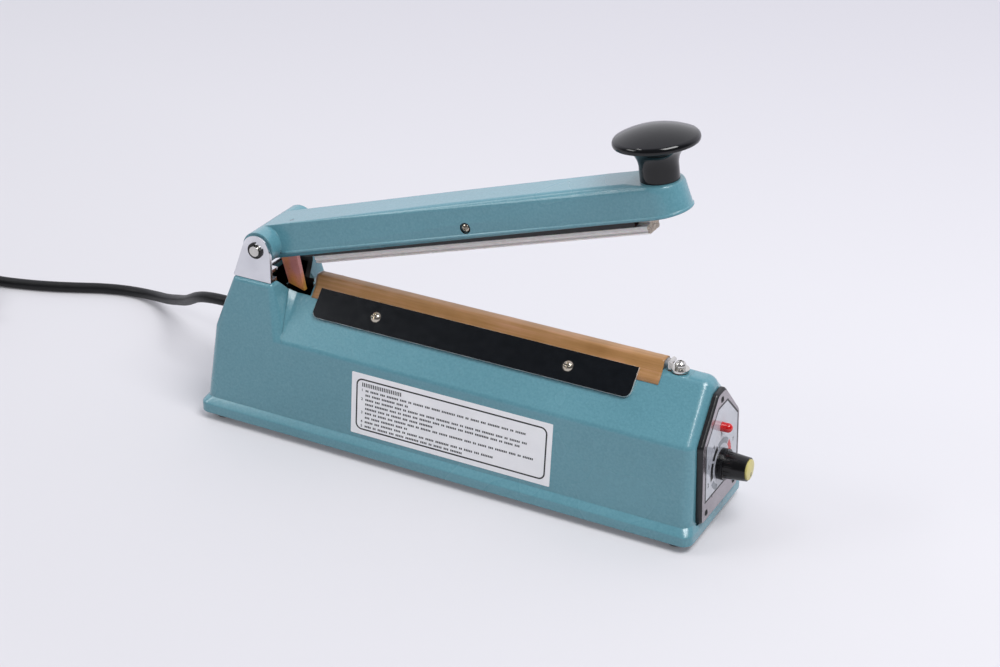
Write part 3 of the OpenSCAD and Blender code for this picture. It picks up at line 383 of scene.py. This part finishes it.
def keep_flats(piece):
    """Shade each vertex like its largest face, so that wide flat areas stay flat beside round edges."""
    modifier = piece.modifiers.new("flats", "WEIGHTED_NORMAL")
    modifier.keep_sharp = True


def dress(node, material, edge_mm, crease=32):
    mesh = frame["nodes"][node].data.copy()
    shape = bmesh.new()
    shape.from_mesh(mesh)
    bmesh.ops.remove_doubles(shape, verts=shape.verts, dist=weld_mm * MM)
    bmesh.ops.dissolve_limit(shape, angle_limit=math.radians(flat_degrees), verts=shape.verts,
                             edges=shape.edges)
    if edge_mm:
        sharp = [e for e in shape.edges if e.is_manifold and e.calc_face_angle() > math.radians(crease)]
        bmesh.ops.bevel(shape, geom=sharp, offset=edge_mm * MM, affect="EDGES", segments=2,
                        profile=0.5, material=-1, clamp_overlap=True)
    shape.to_mesh(mesh)
    shape.free()
    mesh.materials.clear()
    mesh.materials.append(material)
    smooth(mesh, crease)
    piece = show(node + "_skin", mesh, frame["nodes"][node]["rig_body"], slot_of[node])
    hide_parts(node)
    keep_flats(piece)
    return piece


casting_edge = 0.7
casting_crease = {"base_casting": 40, "arm_casting": 30}
castings = [dress(node, teal_paint, casting_edge, crease) for node, crease in casting_crease.items()]
print("castings:", [len(piece.data.polygons) for piece in castings], "faces")

# %% [markdown]
# Inside the castings, where little light reaches, the faces are painted near-black as painted shade.
# Choosing those faces by hand would break with the next change of the solid. So each face sends out rays,
# and a face that sees another part of its own casting takes the painted shade. A hit that is very near is
# only a filled corner, which keeps the teal paint.


# %% Painted shade inside the castings
def paint_shade_inside(piece, material, near_mm=4, far_mm=100, clear_mm=0.6, least_tilt=0.1):
    """Faces that look at another part of the same casting, straight or level, take the second material, the
    painted shade.
    """
    mesh = piece.data
    mesh.materials.append(material)
    shape = bmesh.new()
    shape.from_mesh(mesh)
    rays = BVHTree.FromBMesh(shape)
    shape.free()
    for face in mesh.polygons:
        level_out = Vector((face.normal.x, face.normal.y, 0))
        looks = [out.normalized() for out in (face.normal, level_out) if out.length > least_tilt]
        start = face.center + face.normal * clear_mm * MM
        hits = [rays.ray_cast(start, out, far_mm * MM)[3] or 0 for out in looks]
        face.material_index = int(max(hits) > near_mm * MM)
    return sum(face.material_index for face in mesh.polygons)


# This near-black finish is painted shade for the faces deep inside the castings.
painted_shade_inside = finish(
    "painted_shade_inside",
    plain(srgb(24, 25, 27), srgb(40, 41, 43), grain=500, rough=0.6, spread=0.2, bump_mm=0.05))
print("of these", [paint_shade_inside(piece, painted_shade_inside) for piece in castings], "are bare")

# %% [markdown]
# The same function dresses the plain pieces that show. A table of node, finish and edge radius in
# millimetres is enough, because each solid knows its own body. Pieces that are round already, or very
# thin, take no bevel.

# %% Pieces that keep their solid's shape
plain_pieces = (
    ("bottom_plate", zinc_sheet, 0.2), ("rubber_feet", black_rubber, 0.4),
    ("foot_screws", bright_steel, 0.1), ("hinge_bracket", chrome_sheet, 0.35),
    ("bracket_screws", bright_steel, 0.1), ("hinge_pin", bright_steel, 0.3),
    ("pin_clips", black_moulding, 0.1), ("return_spring", bright_steel, 0),
    ("heater_bar", bar_metal, 0.2), ("clamp_screws", nickel, 0.12),
    ("terminal_insulators", phenolic, 0.1), ("front_terminal", bright_steel, 0.12),
    ("front_terminal_nut", bright_steel, 0.15), ("front_terminal_screw", bright_steel, 0.12),
    ("rear_terminal", bright_steel, 0.12), ("rear_terminal_screw", bright_steel, 0.1),
    ("panel_bezel", black_trim, 0.3), ("panel_plate", panel_metal, 0.1),
    ("panel_screws", black_moulding, 0.1), ("lamp_lens", red_lens, 0),
    ("press_knob", black_gloss, 0), ("strip_holder", black_moulding, 0.2),
    ("strip_screws", nickel, 0.12), ("switch_actuator", copper_film, 0.5),
    ("dial_knob", dial_black, 0.15), ("dial_cap", cap_yellow, 0.3),
    ("pot_nut", bright_steel, 0.2), ("knob_screw", bright_steel, 0.1),
    ("actuator_screw", bright_steel, 0.1), ("heating_ribbon", bar_metal, 0),
    ("switch_lever", bright_steel, 0.1))
for node, material, edge_mm in plain_pieces:
    dress(node, material, edge_mm)
print(len(plain_pieces), "pieces dressed")

# %% [markdown]
# The silicone strip is soft and milky, so it takes a little subsurface scattering. It was cut off a roll
# by hand, so its ends are rough. Bump alone would leave their outline straight, so the end faces are split
# into small triangles, and a noise pushes each vertex in or out along the strip by a fraction of a
# millimetre.

# %% Rough ends of the silicone strip
silicone = finish(
    "silicone",
    plain(srgb(238, 231, 226), srgb(246, 240, 236), grain=420, rough=0.42, spread=0.15, bump_mm=0.02),
    Subsurface_Weight=0.15, Subsurface_Scale=0.002)
silicone_cut = finish(
    "silicone_cut",
    plain(srgb(196, 172, 150), srgb(232, 218, 202), grain=900, rough=0.6, spread=0.2, bump_mm=0.2))


def faces_across(shape, along, least=0.8):
    """The faces that look along a direction, either way."""
    return [face for face in shape.faces if abs(face.normal.dot(along)) > least]


def torn_ends(piece, material, depth_mm=0.7, grain=700):
    mesh = piece.data
    mesh.materials.append(material)
    shape = bmesh.new()
    shape.from_mesh(mesh)
    far_a, far_b = (max(shape.verts, key=lambda v: side * v.co.x).co.copy() for side in (-1, 1))
    along = (far_b - far_a).normalized()
    ends = bmesh.ops.triangulate(shape, faces=faces_across(shape, along))["faces"]
    edges = list({edge for face in ends for edge in face.edges})
    bmesh.ops.subdivide_edges(shape, edges=edges, cuts=4, use_grid_fill=True)
    shape.normal_update()
    ends = faces_across(shape, along)
    for vert in {vert for face in ends for vert in face.verts}:
        vert.co += along * noise.noise(vert.co * grain) * depth_mm * MM
    for face in ends:
        face.material_index = 1
        face.smooth = False
    shape.to_mesh(mesh)
    shape.free()
    return len(ends)


print(torn_ends(dress("silicone_strip", silicone, 0.3), silicone_cut), "rough faces")

# %% [markdown]
# Pieces that are closed up inside the case keep their solids. They still get a finish of their own, so
# that the part can be taken apart on screen. Assigning to the material slot leaves the mesh itself
# untouched.

# %% Pieces inside the case
pot_case = finish("pot_case", metal(srgb(150, 150, 150), srgb(176, 176, 176), rough=0.4), Metallic=1.0)
green_board = finish("green_board", plain(srgb(22, 84, 48), srgb(34, 108, 62), grain=300, rough=0.35))
relay_blue = finish("relay_blue", plain(srgb(34, 74, 150), srgb(46, 92, 172), grain=200, rough=0.35))
capacitor_sleeve = finish(
    "capacitor_sleeve", plain(srgb(24, 30, 62), srgb(36, 44, 84), grain=200, rough=0.3))
core_steel = finish(
    "core_steel", metal(srgb(84, 84, 88), srgb(108, 108, 112), rough=0.5, along=(1, 40, 1), grain=60),
    Metallic=0.6)
winding_tape = finish(
    "winding_tape",
    plain(srgb(150, 96, 40), srgb(186, 128, 60), grain=160, rough=0.45, spread=0.15, bump_mm=0.05))
inner_pieces = {"potentiometer": pot_case, "timer_board": green_board, "timer_relay": relay_blue,
                "timer_capacitors": capacitor_sleeve, "transformer_core": core_steel,
                "transformer_winding": winding_tape, "transformer_strap": zinc_sheet,
                "transformer_screws": bright_steel, "microswitch": black_moulding,
                "switch_screws": bright_steel, "lamp_holder": black_moulding, "pot_shaft": bright_steel}
for node, material in inner_pieces.items():
    for material_slot in frame["nodes"][node].material_slots:
        material_slot.material = material
print(len(inner_pieces), "inner pieces have a finish")

# %% [markdown]
# The clamp plates are punched from sheet that was enamelled before it was cut, so their faces are black
# and their edges are bare metal. A mask texture could paint that, but the bevelled mesh already has a face
# for every edge: the faces that turn away from the plate's own normal take a second material.


# %% Clamp plates
def bare_edges(piece, material, flat=0.96):
    mesh = piece.data
    mesh.materials.append(material)
    widest = max(mesh.polygons, key=lambda face: face.area).normal.copy()
    for face in mesh.polygons:
        face.material_index = int(abs(face.normal.dot(widest)) < flat)
    return sum(face.material_index for face in mesh.polygons)


for node in ("near_clamp_plate", "far_clamp_plate"):
    print(node, "has", bare_edges(dress(node, black_enamel, 0.45), cut_edge), "bare faces")

# %% [markdown]
# The mains lead comes out of the gland, goes down to the table and along it, and ends in a coil. The
# points of the free run are listed, in millimetres, and the turns of the coil are worked out by a
# function, because nobody places those well by eye.

# %% Route of the mains lead
cord_d = 6.5 * MM
gland_low, gland_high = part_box("cord_gland")
lead_start = Vector((gland_low.x, (gland_low.y + gland_high.y) / 2, (gland_low.z + gland_high.z) / 2))
lead_route = ((-176, 15, 47.5), (-187, 16.7, 45.8), (-197.5, 21.7, 41.3), (-208, 29.6, 34.3),
              (-219.5, 39.4, 26.3), (-233.5, 50, 18.6), (-248.5, 59.5, 11.6), (-263, 67, 6.8),
              (-277, 70.5, 4.2), (-291, 69.5, 3.4), (-305, 65, 3.3), (-319, 58.5, 3.3),
              (-334, 52, 3.3), (-350, 46.5, 3.3), (-366, 42, 3.6), (-380, 39.2, 4.4))
coil_at = Vector((-400, -9, 0)) * MM
coil_r = 47 * MM
coil_low = 5.05 * MM
coil_pitch = 7.3 * MM
loop_points = 24
lap = 57
half_turn = 12


def coil_point(k):
    """The coil winds in on the table, climbs where it reverses, and winds out on top."""
    step = k if k < lap + half_turn / 2 else 2 * lap + half_turn - k
    radius = coil_r - coil_pitch * step / loop_points
    climb = min(1, max(0, (k - lap) / half_turn))
    angle = math.radians(90 + 360 * k / loop_points)
    height = coil_low + coil_pitch * climb
    return coil_at + Vector((radius * math.cos(angle), radius * math.sin(angle), height))


coil = [coil_point(k) for k in range(2 * lap + half_turn + 1)]
lead_in = [coil[0] + Vector((steps * cord_d, 0, 0)) for steps in (2, 1)]
lead_tail = [coil[-1] - Vector((0, steps * cord_d, 0)) for steps in (2, 5)]
lead_path = [lead_start, *[Vector(point) * MM for point in lead_route], *lead_in, *coil, *lead_tail]
lead_length = sum((b - a).length for a, b in zip(lead_path, lead_path[1:]))
print("lead", round(lead_length, 3), "m in", len(lead_path), "points")

# %% [markdown]
# A chain of cylinders would show its joints, so the lead is one curve. A Bezier spline with automatic
# handles passes through every point without kinks, and its bevel depth makes it round. The gland, the tie
# and the plug are solids that the lead carries.

# %% Mains lead
lead_curve = bpy.data.curves.new("mains_lead", "CURVE")
lead_curve.dimensions = "3D"
lead_curve.bevel_depth = cord_d / 2
lead_curve.bevel_resolution = 6
lead_curve.resolution_u = 4
spline = lead_curve.splines.new("BEZIER")
spline.bezier_points.add(len(lead_path) - 1)
for knot, point in zip(spline.bezier_points, lead_path):
    knot.co = point
    knot.handle_left_type = "AUTO"
    knot.handle_right_type = "AUTO"
lead_curve.materials.append(cord_jacket)
lead = show("mains_lead", lead_curve, "base", slot_of["power_cord"])
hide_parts("power_cord", "cord_coil")
on_lead = [dress(node, material, edge_mm) for node, material, edge_mm in (
    ("cord_gland", black_rubber, 0.3), ("cord_tie", black_rubber, 0.4), ("plug_body", cord_jacket, 1.0),
    ("plug_blades", brass, 0.4))]
print("lead carries", [piece.name for piece in on_lead])

# %% [markdown]
# The release cloth is woven glass with a brown non-stick coating, folded over the heater bar and held
# under the clamp plates. Two crossed waves in the sheet's own UV map give the threads, and long streaks
# and slow blotches give the coating's uneven brown.


# %% Woven finish
def weave(place):
    wave = {"Vector": place, "Scale": 330.0, "Distortion": 0.6, "Detail": 1.0}
    warp, weft = (place.make("ShaderNodeTexWave", {"wave_type": "BANDS", "bands_direction": axis}, wave, 1)
                  for axis in "XY")
    streaks = place.stretched((20, 700, 1)).noise(1.0, 2)
    blotch = place.noise(45, 3)
    colour = (0.5 * streaks + 0.5 * blotch).colour((0.34, srgb(150, 107, 58)), (0.5, srgb(166, 122, 72)),
                                                   (0.66, srgb(184, 136, 98)))
    return {"Base Color": colour, "Roughness": 0.36 + 0.2 * (blotch - 0.5),
            "Normal": (warp + weft + streaks).bump(0.02)}


brown_cloth = finish("brown_cloth", weave, "UV", Sheen_Weight=0.1, Coat_Weight=0.15, Coat_Roughness=0.3)
print(brown_cloth.name, "has", len(brown_cloth.node_tree.nodes), "nodes")

# %% [markdown]
# The cloth is a real sheet here. Half of its section is a short list of points round the bar, in
# millimetres, which is mirrored and extruded along the machine in short steps. That leaves enough vertices
# for the slight puckers at its cut ends. The UV map runs in metres along and across the sheet, so that the
# weave follows the cloth round the bar.

# %% Release cloth
cloth_low, cloth_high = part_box("release_cloth")
cloth_section = ((10.13, 78.54), (7.6, 81.22), (5.5, 83.44), (4.3, 86.1), (3.3, 88.45), (2.75, 89.0),
                 (2.2, 89.15))
cloth_halves = ((1, cloth_section), (-1, cloth_section[::-1]))
cloth_line = [Vector((0, side * y, z)) * MM for side, half in cloth_halves for y, z in half]
cloth_width = sum((b - a).length for a, b in zip(cloth_line, cloth_line[1:]))
cloth_length = cloth_high.x - cloth_low.x
cloth_steps = 120
shape = bmesh.new()
verts = [shape.verts.new(point + Vector((cloth_low.x, 0, 0))) for point in cloth_line]
row = [shape.edges.new(pair) for pair in zip(verts, verts[1:])]
for step in range(cloth_steps):
    grown = bmesh.ops.extrude_edge_only(shape, edges=row)["geom"]
    row = [item for item in grown if isinstance(item, bmesh.types.BMEdge)]
    moved = [item for item in grown if isinstance(item, bmesh.types.BMVert)]
    bmesh.ops.translate(shape, verts=moved, vec=(cloth_length / cloth_steps, 0, 0))
bmesh.ops.recalc_face_normals(shape, faces=shape.faces)
shape.normal_update()
across = [0.0]
for a, b in zip(cloth_line, cloth_line[1:]):
    across.append(across[-1] + (b - a).length)
uv = shape.loops.layers.uv.new("cloth")
for loop in (loop for face in shape.faces for loop in face.loops):
    in_section = Vector((0, loop.vert.co.y, loop.vert.co.z))
    nearest = min(range(len(cloth_line)), key=lambda i: (cloth_line[i] - in_section).length)
    loop[uv].uv = (loop.vert.co.x - cloth_low.x, across[nearest])
print("cloth", round(cloth_width / MM, 1), "by", round(cloth_length / MM, 1), "mm")

# %% [markdown]
# The puckers must lift the cloth off the bar and never push it in, so the noise is squared before it moves
# a vertex, and it fades away from the two cut ends. A Solidify modifier gives the sheet its thickness,
# outwards only.

# %% Puckers and thickness
cloth_t = 0.3 * MM
pucker_mm = 1.1
pucker_reach = 7 * MM
ripple_mm = 0.12
for vert in shape.verts:
    end = min(vert.co.x - cloth_low.x, cloth_high.x - vert.co.x)
    pucker = noise.noise(vert.co * 160) ** 2 * pucker_mm * math.exp(-end / pucker_reach)
    ripple = noise.noise(vert.co * 60) ** 2 * ripple_mm
    lift = vert.normal if vert.normal.z > 0 else -vert.normal
    vert.co += lift * (pucker + ripple) * MM
mesh = bpy.data.meshes.new("release_cloth_sheet")
shape.to_mesh(mesh)
shape.free()
mesh.materials.append(brown_cloth)
smooth(mesh, 60)
cloth = show("release_cloth_sheet", mesh, "base", slot_of["release_cloth"])
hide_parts("release_cloth")
thick = cloth.modifiers.new("thickness", "SOLIDIFY")
thick.thickness = cloth_t
thick.offset = 1
print("cloth sheet", len(mesh.polygons), "faces")

# %% [markdown]
# Printed things are thin flat pieces. An image on the solid would need a file, and its edges would blur
# close up, so each mark is drawn as a flat shape in millimetres, with its face towards +Z.


# %% Flat shapes
def round_corners(shape, radius, segments):
    bmesh.ops.bevel(shape, geom=shape.verts[:], offset=radius * MM, affect="VERTICES", segments=segments,
                    profile=0.5, material=-1)
    return shape


def rounded(width, height, radius=0):
    shape = bmesh.new()
    bmesh.ops.create_grid(shape, x_segments=1, y_segments=1, size=0.5)
    bmesh.ops.scale(shape, vec=(width * MM, height * MM, 1), verts=shape.verts)
    return round_corners(shape, radius, 8) if radius else shape


def outline(points):
    shape = bmesh.new()
    shape.faces.new([shape.verts.new((x * MM, y * MM, 0)) for x, y in points])
    shape.normal_update()
    return shape


def only_rim(shape, line):
    inner = shape.faces[:]
    bmesh.ops.inset_region(shape, faces=inner, thickness=line * MM, use_boundary=True,
                           use_even_offset=True)
    bmesh.ops.delete(shape, geom=inner, context="FACES_ONLY")
    return shape


def digits(text, size, weight=0.02):
    curve = bpy.data.curves.new("digits", "FONT")
    curve.body = text
    curve.size = size * MM
    curve.offset = weight * size * MM
    curve.align_x = "CENTER"
    curve.align_y = "CENTER"
    carrier = bpy.data.objects.new("digits", curve)
    scene.collection.objects.link(carrier)
    mesh = bpy.data.meshes.new_from_object(carrier.evaluated_get(bpy.context.evaluated_depsgraph_get()))
    shape = bmesh.new()
    shape.from_mesh(mesh)
    bpy.data.objects.remove(carrier)
    bpy.data.meshes.remove(mesh)
    return shape


print("flat shapes: rounded, outline, only_rim and digits")

# %% [markdown]
# The shapes of one colour are joined into one piece, given a hair of thickness, and laid in place with a
# matrix whose columns are the surface's own right, up and outward directions. Every layer is lifted by the
# layers below it, so that no two faces share a plane.


# %% Laying artwork on a surface
def gather(parts):
    """Join flat shapes, each given with its place across and up in millimetres, into one."""
    whole = bmesh.new()
    for shape, x, y in parts:
        mesh = bpy.data.meshes.new("part")
        shape.to_mesh(mesh)
        shape.free()
        mesh.transform(Matrix.Translation((x * MM, y * MM, 0)))
        whole.from_mesh(mesh)
        bpy.data.meshes.remove(mesh)
    return whole


def lay(name, shape, material, place, body, slot, lift, depth):
    """Give a flat shape its thickness and put it in place, lifted off the surface by the layers below it."""
    grown = bmesh.ops.extrude_face_region(shape, geom=shape.faces[:])["geom"]
    top = [item for item in grown if isinstance(item, bmesh.types.BMVert)]
    bmesh.ops.translate(shape, verts=top, vec=(0, 0, depth * MM))
    bmesh.ops.recalc_face_normals(shape, faces=shape.faces)
    bmesh.ops.transform(shape, matrix=place @ Matrix.Translation((0, 0, lift * MM)), verts=shape.verts)
    mesh = bpy.data.meshes.new(name)
    shape.to_mesh(mesh)
    shape.free()
    mesh.materials.append(material)
    return show(name, mesh, body, slot)


def facing(origin, across, out):
    """Matrix of a flat place: local X runs across, Z points out of the surface."""
    rise = out.cross(across)
    return Matrix.Translation(origin) @ Matrix((across, rise, out)).transposed().to_4x4()


print("artwork is gathered, and laid on a place that faces out of a surface")

# %% [markdown]
# The long label on the side wall is white vinyl. The wall leans in a little, so the label's matrix leans
# with it, and the label's place follows from the foot of the wall and from its lean.

# %% Side label
wall_lean = math.radians(4.545)
wall_foot_y = -33.319
wall_foot_z = 13.6
label_w = 120.7
label_h = 36.1
label_low = 16.1
label_x = 0.0
wall_out = Vector((0, -math.cos(wall_lean), math.sin(wall_lean)))
label_mid = label_low + label_h / 2 * math.cos(wall_lean)
label_y = wall_foot_y + math.tan(wall_lean) * (label_mid - wall_foot_z)
label_place = facing(Vector((label_x, label_y, label_mid)) * MM, Vector((1, 0, 0)), wall_out)
vinyl = finish("white_vinyl", plain(srgb(238, 238, 241), srgb(246, 246, 248), grain=60, rough=0.35))
lay("side_label", rounded(label_w, label_h, 0.6), vinyl, label_place, "base", "white_panel", 0.02, 0.12)
print("label", label_w, "by", label_h, "mm")

# %% [markdown]
# The label has a rounded black frame. What it says is left generic: plain numbers down the left, and rows
# of small upright bars, as a designer draws text that is still to come. The bars stand in groups like
# words, whose sizes come in turn from one short list.

# %% The label's print
ink = finish("black_ink", plain(srgb(14, 14, 16), srgb(24, 24, 26), grain=900, rough=0.45))
left = -label_w / 2
top = label_h / 2
rim_in = 2.9
rim_r = 3.8
rim_line = 0.85
heading_bars = 22
heading_pitch = 1.12
heading_at = (left + 6.8, top - 6.3)
first_row = top - 9.6
row_pitch = 2.65
row_room = 104
row_margin = 2
row_shares = (0.93, 0.26, 0.95, 0.92, 0.36, 1.0, 0.26, 0.71, 0.54)
bars_left = left + 8.7
numbered = (0, 2, 5, 7, 8)
numbers_left = left + 6.6
number_h = 2.2
words = itertools.cycle((2, 5, 3, 7, 4, 2, 6, 3, 5, 8, 4))


def letters(x, y, room, width=0.72, height=1.15, gap=0.3):
    """A row of upright bars in groups, like words that can't be read, up to the room it may take."""
    end = x + room
    while x < end:
        for _ in range(next(words)):
            yield rounded(width, height), x + width / 2, y
            x += width + gap
        x += width + gap


rim = only_rim(rounded(label_w - 2 * rim_in, label_h - 2 * rim_in, rim_r), rim_line)
label_print = [(rim, 0, 0)]
for row_index, share in enumerate(row_shares):
    y = first_row - row_pitch * row_index
    if row_index in numbered:
        label_print.append((digits(str(numbered.index(row_index) + 1), number_h), numbers_left, y))
    label_print.extend(letters(bars_left, y, row_room * share - row_margin))
for column in range(heading_bars):
    label_print.append((rounded(0.62, 2.3), heading_at[0] + heading_pitch * column, heading_at[1]))
lay("side_label_print", gather(label_print), ink, label_place, "base", "white_panel", 0.14, 0.03)
print("the label has", len(label_print), "marks")

# %% [markdown]
# The control panel is a metal sheet that laps over its black bezel. It has a white glossy field, a thin
# black border and a scale round the dial: a broken ring in black, grey and red. The dial's joint gives the
# panel's middle and the way it faces. Each piece of the ring is one edge spun about the dial's axis.

# %% Places on the panel
dial_joint = next(joint for joint in frame["joints"] if joint["name"] == "dial_turn")
panel_out = Vector(dial_joint["axis"])
panel_across = Vector((0, 1, 0))
plate_front = 3.2
panel_at = Vector(dial_joint["pos_m"]) + panel_out * plate_front * MM
panel_place = facing(panel_at, panel_across, panel_out)
sheet_edge = ((-24, -23.5), (24, -23.5), (24, 20.1), (4.6, 41), (-4.6, 41), (-24, 20.1))
sheet_corner = 2.2
field = ((-20.8, -13.3), (22.9, -13.3), (22.9, 19.4), (7.4, 34.3), (-5.2, 34.3), (-20.8, 18.9))
border = 1.1
ring = (10.8, 14.0)


def arc(start, end, step=5):
    """A piece of the ring between two angles in degrees, clockwise from the top."""
    shape = bmesh.new()
    edge = shape.edges.new([shape.verts.new((0, r * MM, 0)) for r in ring])
    first = Matrix.Rotation(math.radians(-start), 3, "Z")
    bmesh.ops.rotate(shape, cent=(0, 0, 0), matrix=first, verts=shape.verts)
    bmesh.ops.spin(shape, geom=[*edge.verts, edge], cent=(0, 0, 0), axis=(0, 0, -1),
                   angle=math.radians(end - start), steps=math.ceil((end - start) / step))
    return shape, 0, 0


print("the panel faces", [round(v, 3) for v in panel_out])

# %% [markdown]
# The panel's layers lie on each other: the sheet, the field, the border with the coloured arcs, and the
# black arcs with the numbers 1 to 9, which stand outside the ring on the sweep that the dial's joint
# allows. A small mark on the dial's cap rides the dial, so it turns past the numbers.

# %% The panel's layers
print_white = finish(
    "print_white", plain(srgb(174, 177, 185), srgb(184, 187, 195), grain=80, rough=0.1, spread=0.05),
    Coat_Weight=0.5)
print_grey = finish("print_grey", plain(srgb(112, 118, 126), srgb(128, 133, 140), grain=300, rough=0.2))
print_red = finish("print_red", plain(srgb(190, 44, 44), srgb(206, 60, 56), grain=300, rough=0.3))
sheet_lift, sheet_t = 0.01, 0.07
field_lift, border_lift, number_lift = 0.09, 0.11, 0.13
print_t = 0.02
sweep = math.radians(140)
numbers = 9
number_r = 17.4
number_size = 3.2
sheet = round_corners(outline(sheet_edge), sheet_corner, 6)
lay("panel_sheet", sheet, panel_metal, panel_place, "base", slot_of["panel_plate"], sheet_lift, sheet_t)
black_marks = [arc(-108, -64), arc(-58, -24)]
for step in range(numbers):
    angle = -sweep + 2 * sweep * step / (numbers - 1)
    black_marks.append((digits(str(step + 1), number_size), number_r * math.sin(angle),
                        number_r * math.cos(angle)))
for name, shape, material, lift in (
        ("panel_field", outline(field), print_white, field_lift),
        ("panel_border", only_rim(outline(field), border), ink, border_lift),
        ("panel_low", gather([arc(-158, -118), arc(-18, 45)]), print_grey, border_lift),
        ("panel_high", gather([arc(50, 125)]), print_red, border_lift),
        ("panel_numbers", gather(black_marks), ink, number_lift)):
    lay(name, shape, material, panel_place, "base", "white_panel", lift, print_t)
cap_front = 19.85
cap_place = facing(Vector(dial_joint["pos_m"]) + panel_out * cap_front * MM, panel_across, panel_out)
pointer = gather([(rounded(0.8, 2.4, 0.3), 0, -2.4)])
dial_body = frame["nodes"]["dial_cap"]["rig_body"]
lay("cap_mark", pointer, ink, cap_place, dial_body, slot_of["dial_cap"], lift=0.0, depth=0.13)
print("panel scale with", numbers, "numbers")

# %% [markdown]
# The machine stands on a plain pale floor. The whole picture is floor, because the camera looks down, so
# the floor's colour is the background. It grows a little paler away from the camera, where less light
# falls on it. The floor is wide, so that low views don't meet its edge.

# %% Floor
floor_half = 12.0
floor_shape = bmesh.new()
bmesh.ops.create_grid(floor_shape, x_segments=1, y_segments=1, size=floor_half)
floor_mesh = bpy.data.meshes.new("floor")
floor_shape.to_mesh(floor_mesh)
floor_shape.free()
floor = bpy.data.objects.new("floor", floor_mesh)
scene.collection.objects.link(floor)
floor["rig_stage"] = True
floor_paint = bpy.data.materials.new("floor_paint")
floor_paint.use_nodes = True
floor_mesh.materials.append(floor_paint)
tree = floor_paint.node_tree
paint = tree.nodes["Principled BSDF"]
paint.inputs["Roughness"].default_value = 0.9
paint.inputs["Specular IOR Level"].default_value = 0.1
place = Socket(tree, tree.nodes.new("ShaderNodeTexCoord").outputs["Object"])
sideways, forward = (place.make("ShaderNodeSeparateXYZ", None, {"Vector": place}, axis) for axis in (0, 1))
reach = 0.6 * (forward + 0.15 * sideways + 0.5)
floor_colour = reach.colour((0.15, (0.61, 0.605, 0.63)), (0.3, (0.65, 0.645, 0.67)),
                            (0.48, (0.7, 0.695, 0.725)), (0.85, (0.735, 0.725, 0.77)))
tree.links.new(floor_colour.socket, paint.inputs["Base Color"])
print("floor", tuple(floor.dimensions))

# %% [markdown]
# Camera, glossy and transmission rays also see a share of an even glow in the floor. The share is small
# round the machine, so the shadow stays on the floor, and grows far from it, where the lamps don't reach.
# More lamps would light the far floor too, but they would change the light on the machine.

# %% The floor's glow
glow_range = {"From Min": 1.3, "From Max": 4.0, "To Min": 0.12, "To Max": 0.85}
rays = tree.nodes.new("ShaderNodeLightPath")
seen = Socket(tree, rays.outputs["Is Camera Ray"])
for ray in ("Is Glossy Ray", "Is Transmission Ray"):
    seen = seen.math("MAXIMUM", seen, Socket(tree, rays.outputs[ray]))
glow = tree.nodes.new("ShaderNodeEmission")
glow.inputs["Color"].default_value = (*srgb(240, 239, 246), 1)
distance = place.make("ShaderNodeVectorMath", {"operation": "LENGTH"}, {0: place}, 1)
glow_share = place.make("ShaderNodeMapRange", {"interpolation_type": "SMOOTHSTEP"},
                        {"Value": distance, **glow_range})
blend = tree.nodes.new("ShaderNodeMixShader")
tree.links.new((glow_share * seen).socket, blend.inputs["Fac"])
tree.links.new(paint.outputs[0], blend.inputs[1])
tree.links.new(glow.outputs[0], blend.inputs[2])
tree.links.new(blend.outputs[0], tree.nodes["Material Output"].inputs["Surface"])
print("floor paint has", len(tree.nodes), "nodes")

# %% [markdown]
# The room's bright part lies above and behind the machine, and on polished black it shows as a soft grey.
# A picture of a studio would do the same, but a ramp over the direction of view needs no file.

# %% Room
world = bpy.data.worlds.new("studio")
scene.world = world
world.use_nodes = True
tree = world.node_tree
look = Socket(tree, tree.nodes.new("ShaderNodeTexCoord").outputs["Generated"])
behind = Vector((-0.3, 0.85, 0.43)).normalized()
toward = look.make("ShaderNodeVectorMath", {"operation": "DOT_PRODUCT"}, {0: look, 1: behind}, 1)
room = (0.5 * toward + 0.5).colour((0.0, (0.15, 0.15, 0.16)), (0.56, (0.2, 0.2, 0.22)),
                                   (0.8, (0.9, 0.9, 1.0)), (1.0, (0.95, 0.95, 1.0)))
tree.links.new(room.socket, tree.nodes["Background"].inputs["Color"])
print("the room is brightest towards", [round(v, 2) for v in behind])

# %% [markdown]
# The light is two soft boxes in front, the stronger high up on the panel's side. They show as two bright
# windows on polished black, so they stand where those reflections lie on the knob. A weak narrow strip
# overhead draws the bright lines along the rounded edges of the paint.

# %% Lights
aim = Vector((0, 0, 0.08))


def softbox(name, place, size, watts):
    data = bpy.data.lights.new(name, "AREA")
    data.shape = "RECTANGLE"
    data.size = size[0]
    data.size_y = size[1]
    data.energy = watts
    lamp = bpy.data.objects.new(name, data)
    scene.collection.objects.link(lamp)
    away = (Vector(place) - aim).normalized()
    lamp.matrix_world = Matrix.Translation(Vector(place)) @ away.to_track_quat("Z", "Y").to_matrix().to_4x4()


softbox("panel_side", (0.95, -0.43, 1.84), (1.1, 0.9), watts=34)
softbox("hinge_side", (-1.38, -0.9, 1.2), (0.75, 0.5), watts=6)
softbox("strip", (-0.75, -0.2, 1.55), (0.7, 0.04), watts=1.8)
scene.view_settings.view_transform = "Standard"
print(len(bpy.data.lights), "soft boxes")

# %% [markdown]
# Last, the growth of the dressed model's box over the box of the solids is printed, because the
# dressing should keep the machine at its real size.

# %% Finish
visual_box = [list(corner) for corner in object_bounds()]
corners = zip(cad_box[0] + cad_box[1], visual_box[0] + visual_box[1])
print("grew by", [round((b - a) / MM, 2) for a, b in corners])
